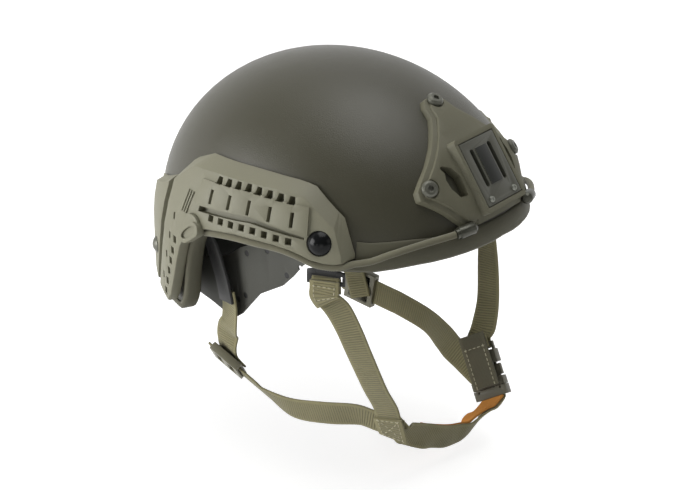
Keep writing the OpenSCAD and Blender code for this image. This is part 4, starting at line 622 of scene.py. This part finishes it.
def make_shell_tree():
    """The shell by rule: a grid bent to an ellipsoid's crown over straight walls, cut at the edge line."""
    tree, given, out = new_group("GeometryNodeTree", "shell_by_rule", [
        ("Geometry", "Geometry", None), ("Half Width", "Float", 0.111), ("Half Length", "Float", 0.14),
        ("Crown Height", "Float", 0.12), ("Wall", "Float", 0.008), ("Columns", "Int", 361),
        ("Rows", "Int", 28), ("Finish", "Material", None)], [("Geometry", "Geometry")])
    size = {n: given.outputs[n] for n in ("Half Width", "Half Length", "Crown Height", "Wall")}
    rows = new_node(tree, "ShaderNodeMath", {0: given.outputs["Rows"], 1: 2.0, 2: 2.0},
                    operation="MULTIPLY_ADD").outputs[0]
    grid = new_node(tree, "GeometryNodeMeshGrid", {
        "Size X": 1.0, "Size Y": 1.0, "Vertices X": given.outputs["Columns"], "Vertices Y": rows})
    spot = tree.nodes.new("GeometryNodeInputPosition")
    parts = new_node(tree, "ShaderNodeSeparateXYZ", {0: spot.outputs[0]})
    turn = maths(tree, "MULTIPLY", parts.outputs[0], math.tau)
    away = maths(tree, "DIVIDE", maths(tree, "ABSOLUTE", turn), math.pi)
    edge = new_node(tree, "ShaderNodeFloatCurve", {"Value": away})
    curve = edge.mapping.curves[0]
    spots = [(t / 180, (z - EDGE_LOW) / (EDGE_HIGH - EDGE_LOW)) for t, z in EDGE_LINE]
    curve.points[0].location, curve.points[-1].location = spots[0], spots[-1]
    for x, y in spots[1:-1]:
        curve.points.new(x, y)
    for point in curve.points:
        point.handle_type = "VECTOR"
    edge.mapping.update()
    edge_z = maths(tree, "MULTIPLY", maths(
        tree, "ADD", maths(tree, "MULTIPLY", edge.outputs[0], EDGE_HIGH - EDGE_LOW), EDGE_LOW), MM)
    # Row parts: below zero the inner skin runs from crown to edge, above zero the outer one back up
    level = maths(tree, "MULTIPLY", parts.outputs[1], 2.0)
    inner = maths(tree, "LESS_THAN", level, 0.0)
    last = maths(tree, "DIVIDE", 1.0, maths(tree, "SUBTRACT", rows, 1.0))
    up = maths(tree, "DIVIDE", maths(tree, "SUBTRACT", maths(tree, "ABSOLUTE", level), last),
               maths(tree, "SUBTRACT", 1.0, last), clamp=True)
    low = maths(tree, "ARCSINE", maths(tree, "DIVIDE", edge_z, size["Crown Height"]))
    rise = maths(tree, "ADD", low, maths(tree, "MULTIPLY", up, maths(tree, "SUBTRACT", math.pi / 2, low)))
    height = maths(tree, "MULTIPLY", size["Crown Height"], maths(tree, "SINE", rise))
    above = maths(tree, "GREATER_THAN", height, 0.0)
    narrow = maths(tree, "COSINE", maths(tree, "MULTIPLY", rise, above))
    out_by = maths(tree, "MULTIPLY", maths(tree, "MULTIPLY", size["Wall"], inner), -1.0)
    x = maths(tree, "MULTIPLY", maths(tree, "MULTIPLY", maths(tree, "ADD", size["Half Width"], out_by),
                                      maths(tree, "SINE", turn)), narrow)
    y = maths(tree, "MULTIPLY", maths(tree, "MULTIPLY", maths(tree, "MULTIPLY", maths(
        tree, "ADD", size["Half Length"], out_by), -1.0), maths(tree, "COSINE", turn)), narrow)
    grown = maths(tree, "DIVIDE", maths(tree, "ADD", size["Crown Height"], out_by), size["Crown Height"])
    lift = maths(tree, "ADD", 1.0, maths(tree, "MULTIPLY", above, maths(tree, "SUBTRACT", grown, 1.0)))
    z = maths(tree, "MULTIPLY", height, lift)
    place = new_node(tree, "ShaderNodeCombineXYZ", {0: x, 1: y, 2: z})
    bend = new_node(tree, "GeometryNodeSetPosition", {
        "Geometry": grid.outputs["Mesh"], "Position": place.outputs[0]})
    weld = new_node(tree, "GeometryNodeMergeByDistance", {"Geometry": bend.outputs[0], "Distance": 1e-6})
    finish = new_node(tree, "GeometryNodeSetMaterial", {
        "Geometry": weld.outputs[0], "Material": given.outputs["Finish"]})
    real = new_node(tree, "GeometryNodeRealizeInstances", {0: finish.outputs[0]})
    tree.links.new(real.outputs[0], out.inputs["Geometry"])
    return tree


def make_stitch_tree():
    """Stitches along edge paths: a short rounded thread on each point, turned along the path."""
    tree, given, out = new_group("GeometryNodeTree", "stitch_rows", [
        ("Geometry", "Geometry", None), ("Pitch", "Float", 0.0034), ("Length", "Float", 0.0026),
        ("Thickness", "Float", 0.00065), ("Finish", "Material", None)], [("Geometry", "Geometry")])
    size = given.outputs
    paths = new_node(tree, "GeometryNodeMeshToCurve", {"Mesh": size["Geometry"]})
    step = new_node(tree, "GeometryNodeCurveToPoints", {
        "Curve": paths.outputs[0], "Length": size["Pitch"]}, mode="LENGTH")
    thread = new_node(tree, "GeometryNodeMeshUVSphere", {"Segments": 8, "Rings": 6, "Radius": 0.5})
    scale = new_node(tree, "ShaderNodeCombineXYZ", {
        0: size["Thickness"], 1: size["Thickness"], 2: size["Length"]})
    place = new_node(tree, "GeometryNodeInstanceOnPoints", {
        "Points": step.outputs["Points"], "Instance": thread.outputs["Mesh"],
        "Rotation": step.outputs["Rotation"], "Scale": scale.outputs[0]})
    real = new_node(tree, "GeometryNodeRealizeInstances", {0: place.outputs[0]})
    round_off = new_node(tree, "GeometryNodeSetShadeSmooth", {0: real.outputs[0]})
    finish = new_node(tree, "GeometryNodeSetMaterial", {
        "Geometry": round_off.outputs[0], "Material": size["Finish"]})
    tree.links.new(finish.outputs[0], out.inputs["Geometry"])
    return tree


def path_mesh(name, paths):
    """A mesh of bare edges along lists of points."""
    verts, edges = [], []
    for path in paths:
        start = len(verts)
        verts += [tuple(p) for p in path]
        edges += [(start + i, start + i + 1) for i in range(len(path) - 1)]
    mesh = bpy.data.meshes.new(name)
    mesh.from_pydata(verts, edges, [])
    return mesh


def web_point(frames, run, across, out):
    """A point on a webbing: run metres along it, across and out in metres."""
    a, b = next((pair for pair in zip(frames, frames[1:]) if pair[1][3] >= run), frames[-2:])
    f = (run - a[3]) / max(b[3] - a[3], 1e-9)
    return a[0].lerp(b[0], f) + a[1].lerp(b[1], f) * across + a[2].lerp(b[2], f) * out


def stitch_piece(name, strap, runs):
    """Rows of stitches on a strap. runs are lists of (run, across, side) in millimetres, side 1 or -1."""
    s = bpy.context.scene.helmet_sizes
    frames = webbing_frames(STRAP_ROUTES[strap])
    half = STRAP_ROUTES[strap][1] * MM / 2
    paths = []
    for row in runs:
        path = []
        for (r0, a0, side), (r1, a1, _) in zip(row, row[1:]):
            count = max(2, int(math.hypot(r1 - r0, a1 - a0) / 1.5))
            path += [web_point(frames, (r0 + (r1 - r0) * k / count) * MM, (a0 + (a1 - a0) * k / count) * MM,
                               side * (half + 0.05 * MM)) for k in range(count + 1)]
        paths.append(path)
    tree = bpy.data.node_groups.get("stitch_rows") or make_stitch_tree()
    mesh = run_tree(name, tree, {
        "Pitch": s.stitch_gap, "Length": s.stitch_length, "Finish": FINISH["thread"],
    }, path_mesh(name + "_rows", paths))
    return add_piece(name, mesh, "helmet", "thread", "webbing")


# ---- operators ----

class HELMET_OT_finishes(bpy.types.Operator):
    """Build every procedural finish"""
    bl_idname = "helmet.finishes"
    bl_label = "Finishes"

    def execute(self, context):
        FINISH.update(make_finishes())
        return {"FINISHED"}


class HELMET_OT_shell(bpy.types.Operator):
    """Build the ballistic shell and its rubber edge trim"""
    bl_idname = "helmet.shell"
    bl_label = "Shell and edge trim"

    def execute(self, context):
        s = context.scene.helmet_sizes
        mesh = run_tree("shell_dome", make_shell_tree(), {
            "Half Width": s.half_width, "Half Length": s.half_length, "Crown Height": s.crown_height,
            "Wall": s.wall, "Finish": FINISH["shell"]})
        work = bmesh.new()
        work.from_mesh(mesh)
        bmesh.ops.recalc_face_normals(work, faces=work.faces)
        work.to_mesh(mesh)
        work.free()
        shade_by_angle(mesh, 50)
        add_piece("shell_dome", mesh, "helmet", "shell", "shell", "shell")
        moulded("rim_trim", "helmet", "trim", "trim", edge=0.3, angle=50, smooth=50)
        return {"FINISHED"}


class HELMET_OT_rails(bpy.types.Operator):
    """Build the side rails with their hooks, bungees and clips"""
    bl_idname = "helmet.rails"
    bl_label = "Rails and bungees"

    def execute(self, context):
        radius = 2.3 * MM
        for side, mirror in (("right", 1), ("left", -1)):
            moulded("rail_" + side, "helmet", "rail", "rail", edge=0.5, smooth=35)
            moulded("bungee_hook_" + side, "helmet", "rail", "hook", edge=0.5)
            moulded("bungee_clip_" + side, "helmet", "clip", "clip", edge=0.3)
            mesh = cord_mesh("bungee_cord_" + side, [(x * mirror, y, z) for x, y, z in BUNGEE_ROUTE], radius)
            add_piece("bungee_cord_" + side, mesh, "helmet", "cord", "cord", "bungee_" + side)
        return {"FINISHED"}


class HELMET_OT_shroud(bpy.types.Operator):
    """Build the front shroud and its slotted plate"""
    bl_idname = "helmet.shroud"
    bl_label = "Shroud"

    def execute(self, context):
        moulded("shroud_frame", "helmet", "shroud", "shroud", edge=0.5, smooth=35)
        plate = moulded("shroud_plate", "helmet", "plate", "plate", edge=0.35)
        # The raised middle is darker than the rim
        mesh = plate.data
        mesh.materials.append(FINISH["plate_middle"])
        faces = [face for face in mesh.polygons if face.normal.y < -0.5]
        front = max(faces, key=lambda face: face.area).normal
        top = max(face.center.dot(front) for face in faces)
        for face in faces:
            if face.normal.dot(front) > 0.99 and top - face.center.dot(front) < 0.3 * MM:
                face.material_index = 1
        return {"FINISHED"}


# Fixings: what the node's name holds, finish, slot, edge and smooth angle. The first that fits is taken.
FIXINGS = (
    ("rail_bolt", "black_bolt", "black_bolt", 0.15, 50), ("_bolt_", "olive_bolt", "bolt", 0.2, 40),
    ("_nut_", "steel", "blacked_steel", 0.12, 40), ("plate_screw", "screw", "blacked_steel", 0.12, 40),
)


class HELMET_OT_fixings(bpy.types.Operator):
    """Finish the bolts, nuts and screws"""
    bl_idname = "helmet.fixings"
    bl_label = "Bolts and nuts"

    def execute(self, context):
        for node in sorted(NODES):
            for mark, finish, slot, edge, smooth in FIXINGS:
                if mark in node:
                    moulded(node, "helmet", finish, slot, edge=edge, smooth=smooth)
                    break
        return {"FINISHED"}


# Cell of a pad's mesh, and how far it is drawn in before it swells, in metres
PAD_CELL, PAD_INSET = 0.004, 0.0012


class HELMET_OT_liner(bpy.types.Operator):
    """Build the padded liner"""
    bl_idname = "helmet.liner"
    bl_label = "Liner pads"

    def execute(self, context):
        for node in sorted(NODES):
            if node.startswith("pad_") or node == "nape_pad":
                body = "fit_yoke" if node == "nape_pad" else "helmet"
                piece = soft_pad(node, body)
        return {"FINISHED"}


def soft_pad(node, body):
    """A pad: the CAD pad's form in cloth, swollen by a cloth simulation and held to a small move."""
    swell = bpy.context.scene.helmet_sizes.pad_swell
    mesh = merged_copy(node, 0.01)
    piece = add_piece(node + "_cushion", mesh, body, "pad", "pad", node)
    remesh = piece.modifiers.new("remesh", "REMESH")
    remesh.mode = "VOXEL"
    remesh.voxel_size = PAD_CELL
    apply_modifiers(piece)
    rest = [v.co.copy() for v in piece.data.vertices]
    normals = [v.normal.copy() for v in piece.data.vertices]
    for v, n in zip(piece.data.vertices, normals):
        v.co = v.co - n * PAD_INSET
    start = [v.co.copy() for v in piece.data.vertices]
    cloth = piece.modifiers.new("cloth", "CLOTH")
    cloth.settings.quality = 4
    cloth.settings.use_pressure = True
    cloth.settings.uniform_pressure_force = 4.0
    cloth.settings.effector_weights.gravity = 0.0
    cloth.settings.tension_stiffness = 18.0
    cloth.settings.compression_stiffness = 18.0
    cloth.point_cache.frame_start = 1
    cloth.point_cache.frame_end = 20
    for number in range(1, 21):
        bpy.context.scene.frame_set(number)
    moved = plain_mesh(piece)
    piece.modifiers.clear()
    swollen = [v.co.copy() for v in moved.vertices]
    bpy.data.meshes.remove(moved)
    bpy.context.scene.frame_set(1)
    low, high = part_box(node)
    for v, a, b, limit in zip(piece.data.vertices, start, swollen, rest):
        move = b - a
        if move.length > swell:
            move = move * (swell / move.length)
        spot = a + move
        v.co = Vector(min(max(spot[k], low[k]), high[k]) for k in range(3))
    smooth = piece.modifiers.new("smooth", "SUBSURF")
    smooth.levels = smooth.render_levels = 1
    apply_modifiers(piece)
    shade_by_angle(piece.data, 180)
    return piece


# Radius and depth of the black discs painted as shade in the wing holes
HOLE_DISC_RADIUS, HOLE_DISC_DEPTH = 2.12 * MM, 1.0 * MM
# Length, thickness and height of the black block in an anchor's eye, painted shadow over the strap
EYE_SHADOW_BLOCK = (20.2 * MM, 1.6 * MM, 0.8 * MM)

# Holes of a wing on the left side, each filled with a black disc as painted shade: place and direction, in
# millimetres
WING_HOLES = [
    ((78.47, 22.01, -39), (0.9883, 0.1523, 0)), ((80.1, 0, 2.29), (0.9997, 0, 0.0231)),
    ((77.11, 29.84, -45), (0.9782, 0.2078, 0)), ((79.92, -17.15, -11), (0.9931, -0.1177, 0)),
    ((78.83, 19.65, -6), (0.9908, 0.1357, 0)),
]


def hole_shade_discs(name, side):
    """Black discs in the holes of one wing: painted shade in the holes."""
    work = bmesh.new()
    for place, direction in WING_HOLES:
        spot = Vector((place[0] * side, place[1], place[2])) * MM
        turn = Vector((direction[0] * side, direction[1], direction[2])).to_track_quat("Z", "Y")
        made = bmesh.ops.create_cone(
            work, cap_ends=True, segments=24, radius1=HOLE_DISC_RADIUS, radius2=HOLE_DISC_RADIUS, depth=HOLE_DISC_DEPTH)
        place_at = Matrix.Translation(spot) @ turn.to_matrix().to_4x4()
        bmesh.ops.transform(work, matrix=place_at, verts=made["verts"])
    mesh = mesh_of(work, name)
    shade_by_angle(mesh, 40)
    return add_piece(name, mesh, "helmet", "black", "harness_plastic")


def eye_shadow_block(name, side):
    """A black block over the strap in an anchor's eye, painted shadow in the ring's opening."""
    along = Vector((0.38 * side, 0.93, 0.0)).normalized()
    spot = Vector((88.9 * side, -58.4, 4.95)) * MM
    work = bmesh.new()
    made = bmesh.ops.create_cube(work, size=1.0)
    size = Matrix.Diagonal((*EYE_SHADOW_BLOCK, 1.0))
    turn = along.to_track_quat("X", "Z").to_matrix().to_4x4()
    bmesh.ops.transform(work, matrix=Matrix.Translation(spot) @ turn @ size, verts=made["verts"])
    return add_piece(name, mesh_of(work, name), "helmet", "black", "harness_plastic")


class HELMET_OT_fit_band(bpy.types.Operator):
    """Build the fit band: wings, yoke, dial and hangers"""
    bl_idname = "helmet.fit_band"
    bl_label = "Fit band and dial"

    def execute(self, context):
        for side in ("right", "left"):
            moulded("wing_" + side, "helmet", "band", "band", edge=0.3)
            moulded("hanger_" + side, "helmet", "black", "harness_plastic", edge=0.3)
            moulded("front_anchor_" + side, "helmet", "black", "harness_plastic", edge=0.3)
            # Painted shade: black discs in the wing holes and a black block in each anchor's eye
            hole_shade_discs("wing_hole_shade_" + side, -1 if side == "right" else 1)
            eye_shadow_block("eye_shadow_block_" + side, -1 if side == "right" else 1)
        moulded("nape_yoke", "fit_yoke", "band", "band", edge=0.5)
        moulded("dial_knob", "fit_dial", "black", "knob", edge=0.4)
        return {"FINISHED"}


def strap_piece(node, ending, finish, slot, steps=6):
    """A strap or sewn panel along its route, in place of its CAD node."""
    mesh = strap_mesh(node + ending, STRAP_ROUTES[node], steps)
    return add_piece(node + ending, mesh, "helmet", finish, slot, node)


class HELMET_OT_harness(bpy.types.Operator):
    """Build the webbing harness, its sewn panels and stitches"""
    bl_idname = "helmet.harness"
    bl_label = "Harness"

    def execute(self, context):
        for node in STRAP_ROUTES:
            if "strap" in node:
                strap_piece(node, "_web", "web", "webbing", 3 if node == "chin_strap" else 8)
        strap_piece("join_patch", "_web", "web", "webbing")
        strap_piece("side_tab", "_panel", "panel", "panel")
        strap_piece("chin_pad", "_suede", "suede", "suede", 3)
        box = [(1.5, -7.5, 1), (16.5, -7.5, 1), (16.5, 7.5, 1), (1.5, 7.5, 1), (1.5, -7.5, 1)]
        stitch_piece("join_patch_stitches", "join_patch", [
            box, [(1.5, -7.5, 1), (16.5, 7.5, 1)], [(16.5, -7.5, 1), (1.5, 7.5, 1)]])
        stitch_piece("side_tab_stitches", "side_tab", [
            [(10, -7, -1), (38, -7, -1)], [(10, 7, -1), (38, 7, -1)], [(10, -7, -1), (10, 7, -1)]])
        # The folded tail sewn on the right front strap below its anchor
        tail = route_part("front_strap_right", 17.4, 33, 20.4, 1.7, 1.9)
        STRAP_ROUTES["front_tail"] = tail
        add_piece("front_tail_web", strap_mesh("front_tail_web", tail), "helmet", "web", "webbing")
        stitch_piece("front_tail_stitches", "front_tail", [
            [(4, -7, 1), (13, -7, 1), (13, 7, 1), (4, 7, 1), (4, -7, 1)]])
        return {"FINISHED"}


class HELMET_OT_buckles(bpy.types.Operator):
    """Build the side-release buckle and the rear adjusters"""
    bl_idname = "helmet.buckles"
    bl_label = "Buckles"

    def execute(self, context):
        bodies = {
            "buckle_socket": "helmet", "buckle_plug": "helmet", "buckle_prong_front": "prong_front",
            "buckle_prong_rear": "prong_rear", "rear_glide_right": "adjuster_right",
            "rear_glide_left": "adjuster_left",
        }
        for node, body in bodies.items():
            moulded(node, body, "glide" if "glide" in node else "buckle", "buckle", edge=0.4)
        return {"FINISHED"}


def area_lamp(name, place, target, size, power, colour=(1, 1, 1)):
    """A soft square lamp that looks at a target."""
    lamp = bpy.data.lights.new(name, "AREA")
    lamp.size = size
    lamp.energy = power
    lamp.color = colour
    item = placed(name, lamp)
    item.location = place
    item.rotation_euler = (Vector(target) - Vector(place)).to_track_quat("-Z", "Y").to_euler()


class HELMET_OT_stage(bpy.types.Operator):
    """Set the camera, the pale floor, the lamps and the world"""
    bl_idname = "helmet.stage"
    bl_label = "Stage"

    def execute(self, context):
        scene = context.scene
        azimuth, lift, distance = math.radians(-50.8), math.radians(24.4), 1.340
        flat = math.cos(lift)
        back = Vector((math.sin(azimuth) * flat, -math.cos(azimuth) * flat, math.sin(lift)))
        view = bpy.data.cameras.new("camera")
        view.sensor_width = 36.0
        view.lens = 97.56
        view.shift_x, view.shift_y = 0.0104, -0.042
        camera = placed("camera", view)
        camera.location = back * distance
        camera.rotation_euler = (-back).to_track_quat("-Z", "Y").to_euler()
        scene.camera = camera
        scene.view_settings.view_transform = "Standard"

        work = bmesh.new()
        bmesh.ops.create_circle(work, cap_ends=True, segments=64, radius=6.0)
        mesh = mesh_of(work, "floor")
        for vertex in mesh.vertices:
            vertex.co.z = CAD_BOX[0][2] - 0.012
        floor = placed("floor", mesh)
        mat, tree, shader = start_finish("pale_floor")
        path = tree.nodes.new("ShaderNodeLightPath")
        seen = maths(tree, "MAXIMUM", path.outputs["Is Camera Ray"], maths(
            tree, "MAXIMUM", path.outputs["Is Glossy Ray"], path.outputs["Is Transmission Ray"]))
        set_inputs(tree, shader, {
            "Base Color": (0.72, 0.72, 0.72, 1), "Roughness": 0.9, "Specular IOR Level": 0.0,
            "Emission Color": (1, 1, 1, 1), "Emission Strength": maths(tree, "MULTIPLY", seen, 0.62)})
        mesh.materials.append(mat)

        world = bpy.data.worlds.new("studio")
        scene.world = world
        world.use_nodes = True
        tree = world.node_tree
        ground = tree.nodes["Background"]
        path = tree.nodes.new("ShaderNodeLightPath")
        seen = maths(tree, "MAXIMUM", path.outputs["Is Camera Ray"], path.outputs["Is Transmission Ray"])
        # A white backdrop beyond the helmet and a dim room on the camera's side
        coords = tree.nodes.new("ShaderNodeTexCoord")
        beyond = new_node(tree, "ShaderNodeVectorMath", {
            0: coords.outputs["Generated"], 1: (-back.x, -back.y, 0.0)}, operation="DOT_PRODUCT")
        fade = new_node(tree, "ShaderNodeMapRange", {
            "Value": beyond.outputs["Value"], "From Min": -0.1, "From Max": 0.6, "To Min": 0.12,
            "To Max": 0.9})
        set_inputs(tree, ground, {
            "Color": (1, 1, 1, 1), "Strength": maths(tree, "MAXIMUM", fade.outputs[0], seen)})

        area_lamp("overhead_lamp", (0.05, -0.05, 1.6), (0, -0.02, 0), 1.2, 15)
        area_lamp("left_lamp", (-1.3, 1.0, 0.3), (0, 0, 0.02), 1.0, 25)
        area_lamp("front_lamp", (0.3, -1.6, 0.6), (0, 0, -0.02), 0.8, 1.5)
        area_lamp("low_lamp", (-1.1, -0.9, -0.05), (0, 0, -0.08), 0.6, 1.2)
        return {"FINISHED"}


class HELMET_PT_panel(bpy.types.Panel):
    """The helmet's tools in the sidebar"""
    bl_idname = "HELMET_PT_panel"
    bl_label = "High-Cut Helmet"
    bl_space_type = "VIEW_3D"
    bl_region_type = "UI"
    bl_category = "Helmet"

    def draw(self, context):
        column = self.layout.column()
        for owner in (context.scene.helmet_sizes, context.scene.helmet_colours):
            for key in owner.bl_rna.properties.keys():
                if key not in ("rna_type", "name"):
                    column.prop(owner, key)
        for tool in OPERATORS:
            column.operator(tool.bl_idname)


OPERATORS = (
    HELMET_OT_stage, HELMET_OT_finishes, HELMET_OT_shell, HELMET_OT_rails, HELMET_OT_shroud,
    HELMET_OT_fixings, HELMET_OT_liner, HELMET_OT_fit_band, HELMET_OT_harness, HELMET_OT_buckles,
)
CLASSES = (HelmetSizes, HelmetColours, *OPERATORS, HELMET_PT_panel)


def register():
    for item in CLASSES:
        bpy.utils.register_class(item)
    bpy.types.Scene.helmet_sizes = bpy.props.PointerProperty(type=HelmetSizes)
    bpy.types.Scene.helmet_colours = bpy.props.PointerProperty(type=HelmetColours)


def unregister():
    del bpy.types.Scene.helmet_colours
    del bpy.types.Scene.helmet_sizes
    for item in reversed(CLASSES):
        bpy.utils.unregister_class(item)


def build_helmet():
    """Registers the tools and makes every piece in order."""
    register()
    for tool in OPERATORS:
        group, action = tool.bl_idname.split(".")
        if getattr(getattr(bpy.ops, group), action)() != {"FINISHED"}:
            raise RuntimeError(tool.bl_label + " did not finish")


if __name__ == "__main__":
    build_helmet()
